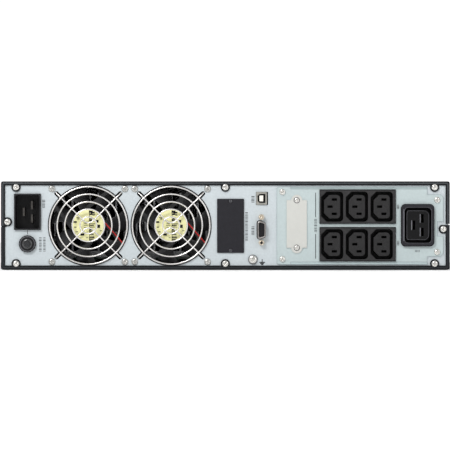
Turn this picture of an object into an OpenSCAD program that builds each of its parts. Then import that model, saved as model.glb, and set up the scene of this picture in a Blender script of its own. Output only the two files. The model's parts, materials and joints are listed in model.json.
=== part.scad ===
// Two-rack-unit uninterruptible power supply, built as its separate pieces.
// Millimetres. X runs across the body, Z is up, and the rear panel faces -Y.
// Most pieces are placed by "depth", the distance inward (+Y) from the rear face of the body.

/* [Body] */
// Width of the sheet-metal body
body_w = 440; // [438:1:442]
// Height of the body
body_h = 86.5; // [86:0.1:88]
// Depth of the sheet-metal body, without the front bezel
body_d = 560; // [560:5:600]
// Steel sheet thickness
sheet = 1.2; // [1:0.1:1.3]
// Radius of the body's four long edges
corner_r = 2; // [1.6:0.1:3]
// Width of the rolled rim round the rear and front openings
rim_w = 4; // [3.6:0.1:4.2]
// Depth of the plastic front bezel
bezel_d = 40; // [36:1:50]

/* [Fans] */
// Side of each square fan frame
fan_size = 80; // [80:1:80]
// Depth of each fan frame
fan_depth = 25; // [25:1:32]
// Spacing of the fan's screw holes
fan_screw_pitch = 71.5; // [71:0.1:72]
// Radius of the round opening in the rear panel
fan_opening_r = 39.5; // [38.8:0.1:39.6]
// Blades on each rotor
blade_count = 7; // [5:1:9]
// Rings in each wire guard
guard_rings = 5; // [4:1:5]
// Wire diameter of the guard
guard_wire = 1.7; // [1.5:0.1:1.8]

/* [Sockets] */
// Sockets side by side in each outlet block
sockets_per_block = 3; // [1:1:3]
// Spacing of the sockets in a block
socket_pitch = 24.3; // [24:0.1:24.5]

/* [Batteries] */
// Length, thickness and height of one sealed battery
battery_size = [151, 94, 65];
// Batteries across the drawer
batteries_across = 2; // [1:1:2]
// Rows of batteries from back to front
battery_rows = 3; // [1:1:3]

/* [Rack ears] */
// Distance between the two columns of rack holes
rack_hole_span = 465.1; // [465:0.1:465.2]
// Height between the two rack holes of one ear
rack_hole_pitch = 76.2; // [76.1:0.1:76.3]
// Overall width across the ears
rack_w = 482.6; // [482:0.1:483]

/* [Hidden] */
$fn = 48;
eps = 0.01;

// The origin is under the middle of the whole object, so the rear face stands half the length away.
rear_proud = 8;
front_proud = 2.2;
total_len = rear_proud + body_d + bezel_d + front_proud;
rear_y = -total_len / 2 + rear_proud;
mid_z = body_h / 2;

// Rear panel stack, as depths: rim, then output panel in front of the rear panel.
panel_d0 = sheet;
panel_d1 = 2 * sheet;
overlay_d0 = 0.2;
plate_t = 1;
panel_gap = 0.2;

// The two half shells meet a little below the middle on the left and above it on the right.
seam_gap = 1;
seam_right_z = mid_z + 1.05;
seam_left_z = mid_z - 1.05;

// Rim screws: three along each long edge and one at each end.
rim_screw_x = 205.2;
rim_screw_z = 5.8;
side_screw_x = 213.6;
side_screw_drop = 3.5;
tab_r = 4.5;
m3_clear_r = 1.65;
m3_r = 1.5;

// Fans
fan_x = [-134.3, -53.2];
fan_z = mid_z + 0.15;
fan_d0 = 4.35;
fan_bore_r = 37.6;
hub_r = 16.4;
rotor_r = 36.6;
rotor_hub_r = 17;
shaft_r = 1.5;
bearing_clear = 0.05;
strut_t = 3.6;
fan_notch = [35.8, -20.2];
guard_mount_d = panel_d1 + guard_wire / 2 + 0.05;
guard_arm_d = 0.6;
guard_ring_d = -0.85;
guard_ring_step = 7.5;
guard_ring_r0 = 8.2;
guard_bend_r = 6.2;
guard_slot_w = 4.4;
guard_slot_end = 46.4;
guard_eye_r = 3.2;

// Input side of the rear panel
inlet_x = -194;
inlet_z = 56.6;
inlet_w = 26.3;
inlet_h = 35.7;
inlet_wall = 1.3;
pin_pitch = 13;
pin_offset = 4;
breaker_x = -194;
breaker_z = 25.2;
breaker_nut_r = 8.5;
breaker_neck_r = 4.8;
breaker_button_r = 3.2;

// Communication side
slot_x = 5.1;
slot_z = 42.9;
slot_w = 26.4;
slot_h = 53;
slot_screw_pitch = 48.4;
usb_x = 35.5;
usb_z = 69.8;
usb_w = 10.4;
usb_h = 12.4;
serial_x = 35.4;
serial_z = 38.9;
serial_w = 8.2;
serial_h = 18;
jackscrew_pitch = 25;
comm_board_x = 43.2;
ground_x = 27;
ground_z = 9.9;

// Output panel
output_x0 = 50.4;
output_x1 = 213.8;
output_z0 = 5;
output_z1 = 81.2;
output_screws = [[56, 76.1], [56, 10.2], [207.6, 68.3], [207.6, 17.2]];
blank_x = 70;
blank_z = 44.7;
blank_w = 19.8;
blank_h = 46.6;
blank_lobe_r = 5.4;
block_x = 129.7;
block_z = [24.9, 61.7];
block_w = 74.9;
block_h = 33.7;
c19_x = 188.4;
c19_z = 43.5;
c19_w = 32.8;
c19_h = 41.6;

// Electronics bay
partition_d = 238;
board_z = 10;
board_t = 1.6;
filter_z = 12;
board_x = [-176, 212];
board_depths = [62, 228];
heatsink_x = [-136, -54];
heatsink_w = 72;
heatsink_fins = 9;

// Battery bay and drawer
bay_wall_x = -93.4;
drawer_x = 62;
drawer_w = 305.2;
drawer_z = 4.5;
drawer_d0 = 250;
drawer_side_h = 32;
battery_d0 = 252;
battery_step = 100;
bay_top_z = 72.5;
front_frame_d = body_d - 2 * sheet;
faceplate_d = body_d + 0.3;
thumbscrew_x = [drawer_x - 132, drawer_x + 132];
thumbscrew_z = 78;

// Front bezel
front_d = body_d + bezel_d;
bezel_d0 = body_d + 1.9;
bezel_side_gap = 0.4;
bezel_split_x = -91.8;
bezel_wall = 2.5;
bezel_edge_r = 10;
dial_x = -155;
dial_r = 38;
dial_clear = 0.3;
key_r = 4.6;
key_clear = 0.15;
key_top_d = front_d + front_proud;
key_names = ["on", "off", "select"];
key_pitch = 15;
key_z = -20;

// ---------------------------------------------------------------- shared shapes

// Extrudes a shape drawn in the X-Z plane from depth d0 to depth d1.
module slab(d0, d1) {
    translate([0, rear_y + d1, 0]) rotate([90, 0, 0]) linear_extrude(d1 - d0) children();
}

// Places a part whose own Z axis points out of the rear face, at depth d.
module facing_rear(x, z, d = 0) {
    translate([x, rear_y + d, z]) rotate([90, 0, 0]) children();
}

// Places a part whose own Z axis points out of the front face, at depth d.
module facing_front(x, z, d = 0) {
    translate([x, rear_y + d, z]) rotate([-90, 0, 0]) children();
}

module rounded_rect(w, h, r) {
    square([w - 2 * r, h], center = true);
    square([w, h - 2 * r], center = true);
    for (sx = [-1, 1], sz = [-1, 1])
        translate([sx * (w / 2 - r), sz * (h / 2 - r)]) circle(r);
}

// A slot with round ends, its long side along X.
module stadium(length, width) {
    square([length - width, width], center = true);
    for (s = [-1, 1]) translate([s * (length - width) / 2, 0]) circle(width / 2);
}

// A rectangle with its left corners cut at 45 degrees and its right corners rounded.
module keyed_rect(w, h, cut, r) {
    polygon([
        [-w / 2, -h / 2 + cut], [-w / 2 + cut, -h / 2], [w / 2 - r, -h / 2], [w / 2, -h / 2 + r],
        [w / 2, h / 2 - r], [w / 2 - r, h / 2], [-w / 2 + cut, h / 2], [-w / 2, h / 2 - cut]
    ]);
    for (s = [-1, 1]) translate([w / 2 - r, s * (h / 2 - r)]) circle(r);
}

// A domed screw head on its seat at Z = 0, with a cross recess and a shank below.
module cross_screw(head_r, head_h, shank_r, shank_len) {
    dome_r = (head_r * head_r + head_h * head_h) / (2 * head_h) * 1.15;
    difference() {
        intersection() {
            cylinder(h = head_h, r = head_r);
            translate([0, 0, head_h - dome_r]) sphere(dome_r, $fn = 96);
        }
        for (a = [45, 135]) rotate([0, 0, a])
            translate([-head_r * 0.52, -head_r * 0.1, head_h * 0.4])
                cube([head_r * 1.04, head_r * 0.2, head_h]);
    }
    translate([0, 0, -shank_len]) cylinder(h = shank_len + eps, r = shank_r);
}

function unit(v) = v / norm(v);
function mid(a, b) = (a + b) / 2;

// Rounds a hand-placed route by cutting its corners twice.
function smoother(p) = concat(
    [p[0]],
    [for (i = [0:len(p) - 2]) each [p[i] * 0.75 + p[i + 1] * 0.25, p[i] * 0.25 + p[i + 1] * 0.75]],
    [p[len(p) - 1]]
);
function direction(p, i) = unit(p[min(i + 1, len(p) - 1)] - p[max(i - 1, 0)]);

// A closed tube along a route of points, as one polyhedron.
module tube(route, r, sides = 8) {
    p = smoother(smoother(route));
    n = len(p);
    reference = [0.31, 0.17, 0.935];
    rings = [
        for (i = [0:n - 1])
            let (t = direction(p, i), u = unit(cross(t, reference)), v = cross(t, u))
                for (k = [0:sides - 1]) p[i] + r * (cos(360 * k / sides) * u + sin(360 * k / sides) * v)
    ];
    walls = [
        for (i = [0:n - 2], k = [0:sides - 1])
            let (a = i * sides + k, b = i * sides + (k + 1) % sides) [a, a + sides, b + sides, b]
    ];
    caps = [[for (k = [0:sides - 1]) k], [for (k = [sides - 1:-1:0]) (n - 1) * sides + k]];
    polyhedron(points = rings, faces = concat(walls, caps), convexity = 6);
}

// A point given as X, depth and Z.
function at(x, d, z) = [x, rear_y + d, z];

// ---------------------------------------------------------------- body shells

module body_ring(inset) {
    translate([0, mid_z]) rounded_rect(body_w - 2 * inset, body_h - 2 * inset, max(corner_r - inset, 0.4));
}

// What lies below the seam, which steps between the left and the right wall.
module below_seam() {
    translate([-body_w, -body_h]) square([body_w, body_h + seam_left_z - seam_gap / 2]);
    translate([0, -body_h]) square([body_w, body_h + seam_right_z - seam_gap / 2]);
}

module rim_2d() {
    difference() {
        body_ring(0);
        translate([0, mid_z]) square([body_w - 2 * rim_w, body_h - 2 * rim_w], center = true);
    }
}

module rear_tabs() {
    for (s = [-1, 0, 1]) translate([s * rim_screw_x, rim_screw_z]) circle(tab_r);
    translate([side_screw_x, mid_z - side_screw_drop]) circle(tab_r);
}

// Positions of the rim screws that belong to the lower shell.
rim_screws = [
    [-rim_screw_x, rim_screw_z], [0, rim_screw_z], [rim_screw_x, rim_screw_z],
    [side_screw_x, mid_z - side_screw_drop]
];

rail_hole_depths = [120, 420];
rail_hole_z = [20, 66.5];
rail_hole_r = 2.1;
ear_screw_depths = [506, 540];
ear_screw_z = [16, 32];

// The lower shell; the upper one is the same pressing turned upside down.
module half_shell() {
    difference() {
        union() {
            slab(0, body_d) intersection() {
                difference() {
                    body_ring(0);
                    body_ring(sheet);
                }
                below_seam();
            }
            slab(0, sheet) intersection() {
                union() {
                    rim_2d();
                    rear_tabs();
                }
                below_seam();
            }
            slab(body_d - sheet, body_d) intersection() {
                rim_2d();
                below_seam();
            }
            slab(panel_d1 + 0.6, front_frame_d - 0.6) translate([-body_w / 2 + sheet, seam_left_z]) {
                translate([-eps, -6]) square([1 + eps, 6 - seam_gap / 2]);
                translate([0.08, -3]) square([1 - 0.08, 9]);
            }
        }
        for (p = rim_screws) facing_rear(p[0], p[1], sheet + 1) cylinder(h = 3, r = m3_clear_r);
        for (side = [-1, 1]) {
            for (d = rail_hole_depths) side_hole(side, d, rail_hole_z[0], rail_hole_r);
            for (d = ear_screw_depths, z = ear_screw_z) side_hole(side, d, z, 2.1);
        }
    }
}

module side_hole(side, d, z, r) {
    translate([side * (body_w / 2 - 3), rear_y + d, z]) rotate([0, side * 90, 0]) cylinder(h = 6, r = r);
}

module bottom_tray() {
    color([0.1, 0.1, 0.11]) {
        half_shell();
        for (x = [drawer_x - 140, drawer_x + 140])
            translate([x - 6, rear_y + drawer_d0, sheet - eps]) cube([12, 304, drawer_z - sheet - 0.3]);
        for (x = [board_x[0] + 8, 20, board_x[1] - 8], d = [board_depths[0] + 8, board_depths[1] - 8])
            translate([x, rear_y + d, sheet - eps]) cylinder(h = board_z - sheet + eps, r = 3);
        for (p = [[-208, 74], [-186, 160]])
            translate([p[0], rear_y + p[1], sheet - eps]) cylinder(h = filter_z - sheet + eps, r = 3);
    }
}

module top_cover() {
    color([0.1, 0.1, 0.11]) translate([0, 0, body_h]) rotate([0, 180, 0]) half_shell();
}

module cover_screws() {
    color([0.8, 0.8, 0.8]) {
        for (p = rim_screws) {
            facing_rear(p[0], p[1]) cross_screw(3.3, 2.1, m3_r, 6);
            facing_rear(-p[0], body_h - p[1]) cross_screw(3.3, 2.1, m3_r, 6);
        }
    }
}

// ---------------------------------------------------------------- rear panel

module fan_opening_2d() {
    circle(fan_opening_r);
    for (a = [45:90:315]) rotate(a)
        translate([guard_slot_end / 2, 0]) stadium(guard_slot_end, guard_slot_w);
    for (sx = [-1, 1], sz = [-1, 1])
        translate([sx, sz] * fan_screw_pitch / 2) circle(2.2);
}

module output_window_2d() {
    translate([blank_x, blank_z]) square([14, 30], center = true);
    translate([block_x, mid_z]) square([block_w + 3, 72.5], center = true);
    translate([c19_x + 1, c19_z]) square([c19_w + 1, c19_h], center = true);
}

module rear_panel() {
    color([0.78, 0.82, 0.84]) {
        difference() {
            slab(panel_d0, panel_d1) difference() {
                translate([0, mid_z]) square([body_w - 2 * (sheet + panel_gap), body_h - 2 * (sheet + panel_gap)],
                                             center = true);
                for (x = fan_x) translate([x, fan_z]) fan_opening_2d();
                translate([inlet_x, inlet_z]) square([inlet_w - 0.9, inlet_h - 0.9], center = true);
                translate([breaker_x, breaker_z]) circle(breaker_neck_r + 0.1);
                translate([slot_x, slot_z]) square([slot_w - 4, slot_h - 12], center = true);
                translate([slot_x, slot_z]) for (s = [-1, 1])
                    translate([0, s * slot_screw_pitch / 2]) circle(1.25);
                translate([usb_x + 0.5, usb_z]) square([usb_w + 1.4, usb_h + 0.3], center = true);
                translate([serial_x - 0.15, serial_z]) serial_d_2d(0.5);
                for (s = [-1, 1]) translate([serial_x, serial_z + s * jackscrew_pitch / 2]) circle(1.7);
                translate([ground_x, ground_z]) circle(2.1);
                output_window_2d();
                for (p = output_screws) translate(p) circle(m3_clear_r);
                for (p = rim_screws) {
                    translate(p) circle(m3_clear_r);
                    translate([-p[0], body_h - p[1]]) circle(m3_clear_r);
                }
            }
        }
        for (z = [sheet + panel_gap, body_h - 2 * sheet - panel_gap])
            translate([-body_w / 2 + 12, rear_y + panel_d1 - eps, z]) cube([body_w - 24, 0.9, sheet]);
    }
}

// Outline of the output panel: cut away round the rim's screw tabs.
module output_outline_2d() {
    notch_x = 198.1;
    notch_z = 73.7;
    shoulder = 2.4;
    side_notch_x = 208;
    side_notch_z = [32.9, 46.9];
    edge_r = 2;
    difference() {
        translate([(output_x0 + output_x1) / 2, (output_z0 + output_z1) / 2])
            rounded_rect(output_x1 - output_x0, output_z1 - output_z0, edge_r);
        translate([notch_x, notch_z]) square([30, 20]);
        translate([notch_x, -20]) square([30, 20 + body_h - notch_z]);
        translate([side_notch_x, side_notch_z[0]]) square([20, side_notch_z[1] - side_notch_z[0]]);
        for (s = [-1, 1]) translate([output_x1, mid_z + s * (notch_z - mid_z)])
            rotate(45) square([shoulder * sqrt(2), shoulder * sqrt(2)], center = true);
    }
}

module output_panel() {
    band_x = [64, 198.1];
    band_h = 2.4;
    color([0.76, 0.82, 0.82]) difference() {
        slab(overlay_d0, panel_d0) difference() {
            output_outline_2d();
            translate([blank_x, blank_z]) square([13, 29], center = true);
            for (z = block_z) translate([block_x, z]) square([block_w - 1, block_h - 1], center = true);
            translate([c19_x, c19_z]) square([c19_w - 3, c19_h - 3], center = true);
            for (p = output_screws) translate(p) circle(m3_clear_r);
            for (s = [-1, 1]) translate([blank_x, blank_z + s * blank_h / 2]) circle(m3_clear_r);
        }
        for (z = [output_z0 - 1, output_z1 - band_h])
            slab(overlay_d0 - 1, overlay_d0 + 0.45)
                translate([band_x[0], z]) square([band_x[1] - band_x[0] + 2, band_h + 1]);
    }
}

module blank_plate() {
    color([0.87, 0.86, 0.82]) slab(overlay_d0 - plate_t, overlay_d0) difference() {
        union() {
            translate([blank_x, blank_z]) square([blank_w, blank_h], center = true);
            for (s = [-1, 1]) translate([blank_x, blank_z + s * blank_h / 2]) circle(blank_lobe_r);
        }
        for (s = [-1, 1]) translate([blank_x, blank_z + s * blank_h / 2]) circle(m3_clear_r);
    }
}

module panel_screws() {
    color([0.8, 0.8, 0.8]) {
        for (p = output_screws) facing_rear(p[0], p[1], overlay_d0) cross_screw(3.2, 2.1, m3_r, 6);
        for (s = [-1, 1]) {
            facing_rear(blank_x, blank_z + s * blank_h / 2, overlay_d0 - plate_t)
                cross_screw(2.9, 1.7, m3_r, 1.9);
            facing_rear(slot_x, slot_z + s * slot_screw_pitch / 2, overlay_d0 + 0.5)
                cross_screw(1.7, 0.7, 1.1, 4);
        }
    }
}

module slot_cover() {
    color([0.2, 0.2, 0.22]) difference() {
        slab(overlay_d0 - 0.2, panel_d0) difference() {
            translate([slot_x, slot_z]) rounded_rect(slot_w, slot_h, 0.8);
            for (s = [-1, 1]) translate([slot_x, slot_z + s * slot_screw_pitch / 2]) circle(1.2);
        }
        for (s = [-1, 1]) facing_rear(slot_x, slot_z + s * slot_screw_pitch / 2, overlay_d0 + 0.5)
            cylinder(h = 3, r = 2);
    }
}

module slot_card_cage() {
    cage_w = 25;
    cage_h = 54;
    cage_d = [panel_d1, 118];
    color([0.12, 0.12, 0.12]) {
        slab(cage_d[0], cage_d[1]) difference() {
            translate([slot_x, slot_z]) square([cage_w, cage_h], center = true);
            translate([slot_x, slot_z]) square([cage_w - 2.4, cage_h - 2.4], center = true);
        }
        slab(cage_d[1] - 10, cage_d[1] - 2) translate([slot_x, slot_z]) square([9, 46], center = true);
        slab(cage_d[1] - 2, cage_d[1]) translate([slot_x, slot_z]) square([cage_w - 1, cage_h - 1], center = true);
    }
}

// ---------------------------------------------------------------- input side

module inlet_housing() {
    cavity_w = inlet_w - 2 * inlet_wall;
    cavity_h = inlet_h - 2 * inlet_wall;
    cavity_d = 17.5;
    color([0.07, 0.07, 0.07]) difference() {
        union() {
            slab(-1.2, panel_d0) translate([inlet_x, inlet_z]) rounded_rect(inlet_w, inlet_h, 0.8);
            slab(panel_d0 - eps, 24) translate([inlet_x, inlet_z])
                rounded_rect(inlet_w - 1.1, inlet_h - 1.1, 0.8);
            for (s = [-1, 1]) slab(panel_d1 + 0.1, 9) translate([inlet_x + s * (inlet_w / 2 - 0.4), inlet_z])
                square([1.6, 10], center = true);
        }
        slab(-3, cavity_d) translate([inlet_x, inlet_z]) keyed_rect(cavity_w, cavity_h, 1.5, 3);
        for (p = inlet_pin_places) slab(cavity_d - 1, 26) translate(p) square([2.1, 8.1], center = true);
    }
}

inlet_pin_places = [
    [inlet_x - pin_offset, inlet_z], [inlet_x + pin_offset, inlet_z + pin_pitch / 2],
    [inlet_x + pin_offset, inlet_z - pin_pitch / 2]
];

module inlet_pins() {
    color([0.75, 0.72, 0.6]) for (p = inlet_pin_places) {
        slab(6, 24.5) translate(p) square([2, 8], center = true);
        slab(24.5, 32) translate(p) square([0.8, 6.3], center = true);
    }
}

module breaker_body() {
    bore_r = breaker_button_r + 0.08;
    color([0.1, 0.1, 0.1]) {
        difference() {
            union() {
                facing_rear(breaker_x, breaker_z, 12) cylinder(h = 17.4, r = breaker_neck_r);
                slab(12, 33) translate([breaker_x, breaker_z]) rounded_rect(14, 26, 2);
            }
            facing_rear(breaker_x, breaker_z, 14) cylinder(h = 30, r = bore_r);
        }
        for (s = [-1, 1]) slab(33 - eps, 41) translate([breaker_x, breaker_z + s * 8]) square([6.3, 0.8], center = true);
    }
}

module breaker_nut() {
    color([0.2, 0.2, 0.21]) difference() {
        facing_rear(breaker_x, breaker_z, panel_d0) {
            cylinder(h = 2.6, r = breaker_nut_r);
            translate([0, 0, 2.6 - eps]) cylinder(h = 1.2, r1 = breaker_nut_r, r2 = breaker_nut_r - 1.2);
        }
        facing_rear(breaker_x, breaker_z, 5) cylinder(h = 20, r = breaker_neck_r + 0.1);
        for (a = [0:20:340]) facing_rear(breaker_x, breaker_z, 3) rotate([0, 0, a])
            translate([breaker_nut_r + 0.35, 0, -1]) cylinder(h = 12, r = 0.7);
    }
}

module breaker_button() {
    color([0.13, 0.13, 0.14]) facing_rear(breaker_x, breaker_z, 11) {
        cylinder(h = 11 + rear_proud - 0.8, r = breaker_button_r);
        translate([0, 0, 11 + rear_proud - 0.8])
            cylinder(h = 0.8, r1 = breaker_button_r, r2 = breaker_button_r - 0.8);
    }
}

// ---------------------------------------------------------------- fans

// One strut leans from beside the hub out to the rim.
module fan_strut_2d() {
    translate([-2, hub_r - 2]) rotate(38) square([34, strut_t]);
}

module fan_frame(x) {
    flange_t = 4;
    duct_r = 39.6;
    boss_d = 22;
    color([0.07, 0.07, 0.08]) {
        difference() {
            union() {
                for (d = [fan_d0, fan_d0 + fan_depth - flange_t]) slab(d, d + flange_t)
                    translate([x, fan_z]) rounded_rect(fan_size, fan_size, 4);
                slab(fan_d0, fan_d0 + fan_depth) translate([x, fan_z]) circle(duct_r);
            }
            slab(fan_d0 - 1, fan_d0 + fan_depth + 1) translate([x, fan_z]) {
                circle(fan_bore_r);
                for (sx = [-1, 1], sz = [-1, 1]) translate([sx, sz] * fan_screw_pitch / 2) circle(2.15);
                translate(fan_notch) circle(2.6);
            }
        }
        slab(fan_d0, fan_d0 + 4) translate([x, fan_z]) intersection() {
            circle(fan_bore_r + 0.5);
            union() {
                circle(hub_r);
                for (a = [0:90:270]) rotate(a) fan_strut_2d();
            }
        }
        slab(fan_d0 + 3.9, boss_d) translate([x, fan_z]) difference() {
            circle(4.6);
            circle(shaft_r + bearing_clear);
        }
    }
}

module fan_motor_coils() {
    color([0.72, 0.42, 0.2]) for (x = fan_x) slab(fan_d0 + 5, 20) translate([x, fan_z]) difference() {
        circle(13.5);
        circle(4.7);
        for (a = [0:90:270]) rotate(a + 45) translate([12.5, 0]) square([8, 2.4], center = true);
    }
}

module fan_rotor(x) {
    cup_d = [fan_d0 + 5.4, fan_d0 + fan_depth - 0.8];
    blade_pitch = 42;
    blade_chord = 21;
    blade_t = 1.3;
    mid_d = (cup_d[0] + cup_d[1]) / 2;
    color([0.06, 0.06, 0.06]) {
        slab(cup_d[0], cup_d[1]) translate([x, fan_z]) difference() {
            circle(rotor_hub_r);
            circle(rotor_hub_r - 2);
        }
        slab(cup_d[1] - 2, cup_d[1]) translate([x, fan_z]) circle(rotor_hub_r - 1.9);
        slab(9, cup_d[1] - 1) translate([x, fan_z]) circle(shaft_r);
        intersection() {
            slab(cup_d[0] + 0.4, cup_d[1] - 0.4) translate([x, fan_z]) difference() {
                circle(rotor_r);
                circle(rotor_hub_r - 1);
            }
            translate([x, rear_y + mid_d, fan_z]) for (k = [0:blade_count - 1])
                rotate([0, k * 360 / blade_count, 0]) blade(blade_pitch, blade_chord, blade_t);
        }
    }
}

// A flat blade reaching out along its own Z, pitched about that axis.
module blade(pitch, chord, t) {
    rotate([0, 0, pitch]) translate([-chord / 2, -t / 2, rotor_hub_r - 2]) cube([chord, t, rotor_r]);
}

// One of the two bent wires of a guard: in along one diagonal, round a bend, out along the next.
module guard_arm_wire() {
    r = guard_wire / 2;
    bend_centre = guard_bend_r * sqrt(2);
    straight_in = bend_centre / sqrt(2);
    ramp_r = [40.4, 45.5];
    eye_centre = fan_screw_pitch / sqrt(2);
    for (s = [-1, 1]) rotate([0, 0, s * 45]) {
        translate([0, straight_in - 0.3, -guard_arm_d]) rotate([-90, 0, 0])
            cylinder(h = ramp_r[0] - straight_in + 0.5, r = r);
        ramp_len = norm([ramp_r[1] - ramp_r[0], guard_mount_d - guard_arm_d]);
        ramp_tilt = atan2(guard_mount_d - guard_arm_d, ramp_r[1] - ramp_r[0]);
        translate([0, ramp_r[0], -guard_arm_d]) rotate([-ramp_tilt, 0, 0]) rotate([-90, 0, 0])
            translate([0, 0, -0.3]) cylinder(h = ramp_len + 0.6, r = r * 0.98);
        translate([0, ramp_r[1] - 0.2, -guard_mount_d]) rotate([-90, 0, 0])
            cylinder(h = eye_centre - guard_eye_r - ramp_r[1] + 0.2, r = r * 0.96);
        translate([0, eye_centre, -guard_mount_d]) rotate_extrude() translate([guard_eye_r, 0]) circle(r);
    }
    translate([0, bend_centre, -guard_arm_d]) rotate([0, 0, 225])
        rotate_extrude(angle = 90) translate([guard_bend_r, 0]) circle(r * 1.02);
}

module fan_guard(x) {
    color([0.85, 0.85, 0.83]) facing_rear(x, fan_z) {
        for (k = [0:guard_rings - 1])
            translate([0, 0, -guard_ring_d]) rotate_extrude($fn = 96)
                translate([guard_ring_r0 + k * guard_ring_step, 0]) circle(guard_wire / 2, $fn = 24);
        for (a = [0, 180]) rotate([0, 0, a]) guard_arm_wire();
    }
}

module fan_screws() {
    color([0.65, 0.65, 0.63])
        for (x = fan_x, sx = [-1, 1], sz = [-1, 1])
            facing_rear(x + sx * fan_screw_pitch / 2, fan_z + sz * fan_screw_pitch / 2, panel_d0)
                cross_screw(3.3, 2.1, 1.95, 12);
}

// Two thin wires per fan: along a strut, through the frame's notch, then down to a plug on the main board.
module fan_leads() {
    lead_r = 0.6;
    notch = fan_notch;
    color([0.6, 0.1, 0.1]) for (x = fan_x) {
        for (k = [0, 1]) tube([
            at(x + 16.2 - k * 1.05, 3.6, fan_z + 2.4 - k * 0.95),
            at(x + 24.4 - k * 1.05, 3.6, fan_z - 6.9 - k * 0.95),
            at(x + 32.6 - k * 1.05, 3.62, fan_z - 16.3 - k * 0.95),
            at(x + notch[0] - 0.7 + k * 0.2, 3.6, fan_z + notch[1] + 0.9 - k * 1.5),
            at(x + notch[0] - 0.2, 8, fan_z + notch[1] + 0.8 - k * 1.5),
            at(x + notch[0], 34, fan_z + notch[1] + 0.8 - k * 1.5),
            at(x + notch[0] + 2, 52, fan_z + notch[1] - 2 - k * 1.5),
            at(x + 38.9 + k * 2, 64.6, 22), at(x + 38.9 + k * 2, 64.6, 18)
        ], lead_r);
        translate(at(x + 36.4, 62.5, board_z + board_t)) cube([7, 4.4, 6.4]);
    }
}

// ---------------------------------------------------------------- outlets

socket_x = [for (k = [0:sockets_per_block - 1]) (k - (sockets_per_block - 1) / 2) * socket_pitch - 0.8];

// The groove that a cable's connector slides into, and the three contact slots of one socket.
module socket_groove_2d() {
    difference() {
        keyed_rect(21.8, 29.6, 5.5, 3.8);
        keyed_rect(15.8, 23, 5.2, 3.4);
    }
}

module socket_slots_2d() {
    for (s = [-1, 1]) translate([2.2, s * 7]) square([5, 2.4], center = true);
    translate([-2, 0]) square([5, 2.4], center = true);
}

module outlet_block(z) {
    front = -1.6;
    groove_d = 15;
    back_d = 24;
    color([0.23, 0.22, 0.22]) difference() {
        union() {
            slab(front + 0.6, overlay_d0) translate([block_x, z]) rounded_rect(block_w, block_h, 0.8);
            slab(front, front + 0.6 + eps) translate([block_x, z])
                rounded_rect(block_w - 0.8, block_h - 1.8, 0.6);
            slab(overlay_d0 - eps, back_d) translate([block_x, z])
                rounded_rect(block_w - 1.2, block_h - 1.2, 0.8);
        }
        for (x = socket_x) {
            slab(front - 1, groove_d) translate([block_x + x, z]) socket_groove_2d();
            slab(front - 1, back_d - 4) translate([block_x + x, z]) socket_slots_2d();
            slab(front - 1, front + 0.5) translate([block_x + x, z]) keyed_rect(21.8, 29.6, 5.5, 3.8);
        }
    }
}

module outlet_contacts() {
    color([0.8, 0.65, 0.3]) {
        for (z = block_z, x = socket_x, p = [[2.2, 7], [2.2, -7], [-2, 0]])
            slab(9, 18) translate([block_x + x + p[0], z + p[1] + 0.7]) square([4.4, 0.6], center = true);
        for (p = [[-4, 0], [4, 6.5], [4, -6.5]])
            slab(5, 24) translate([c19_x + 0.4 + p[0] - 0.9, c19_z + p[1]]) square([0.8, 7.2], center = true);
    }
}

module outlet_c19() {
    front = -3.4;
    groove_d = 20;
    back_d = 32;
    color([0.14, 0.13, 0.15]) difference() {
        union() {
            slab(front + 0.8, overlay_d0) translate([c19_x, c19_z]) rounded_rect(c19_w, c19_h, 4.4);
            slab(front, front + 0.8 + eps) translate([c19_x, c19_z]) rounded_rect(c19_w - 1.4, c19_h - 1.4, 3.8);
            slab(overlay_d0 - eps, back_d) translate([c19_x, c19_z])
                rounded_rect(c19_w - 3.2, c19_h - 3.2, 3);
        }
        slab(front - 1, groove_d) translate([c19_x + 0.2, c19_z]) difference() {
            rounded_rect(26.2, 34.6, 3.2);
            scale([-1, 1]) keyed_rect(21.8, 28.6, 3, 1.6);
        }
        slab(front - 1, front + 1.6) translate([c19_x + 0.2, c19_z]) rounded_rect(26.2, 34.6, 3.2);
        for (p = [[-4.4, 0, 9], [4, 6.7, 8.2], [4, -6.7, 8.2]])
            slab(front - 1, back_d - 4) translate([c19_x + 0.4 + p[0], c19_z + p[1]]) square([3, p[2]], center = true);
    }
}

// ---------------------------------------------------------------- communication ports

module usb_port() {
    color([0.72, 0.7, 0.68]) {
        difference() {
            slab(-0.4, 16) translate([usb_x, usb_z]) rounded_rect(usb_w, usb_h, 0.5);
            slab(-2, 9) translate([usb_x - 0.1, usb_z]) keyed_rect(7.6, 8.7, 1.9, 0.5);
        }
        slab(0.4, 9 + eps) translate([usb_x - 0.2, usb_z]) square([3.6, 5.6], center = true);
        slab(5, 16) translate([comm_board_x - 1.5, usb_z]) square([3, 9], center = true);
    }
}

// The D of the serial port stands upright, its wide side to the left.
module serial_d_2d(grow) {
    half_h = serial_h / 2 + grow;
    half_w = serial_w / 2 + grow;
    lean = 1.3;
    r = max(0.6, 2.4 + grow);
    polygon(concat(
        [for (a = [180:-22.5:90]) [-half_w + r + r * cos(a), half_h - r + r * sin(a)]],
        [for (a = [80:-20:0]) [half_w - r + r * cos(a), half_h - lean - r + r * sin(a)]],
        [for (a = [0:-20:-80]) [half_w - r + r * cos(a), -half_h + lean + r + r * sin(a)]],
        [for (a = [-90:-22.5:-180]) [-half_w + r + r * cos(a), -half_h + r + r * sin(a)]]
    ));
}

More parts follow.
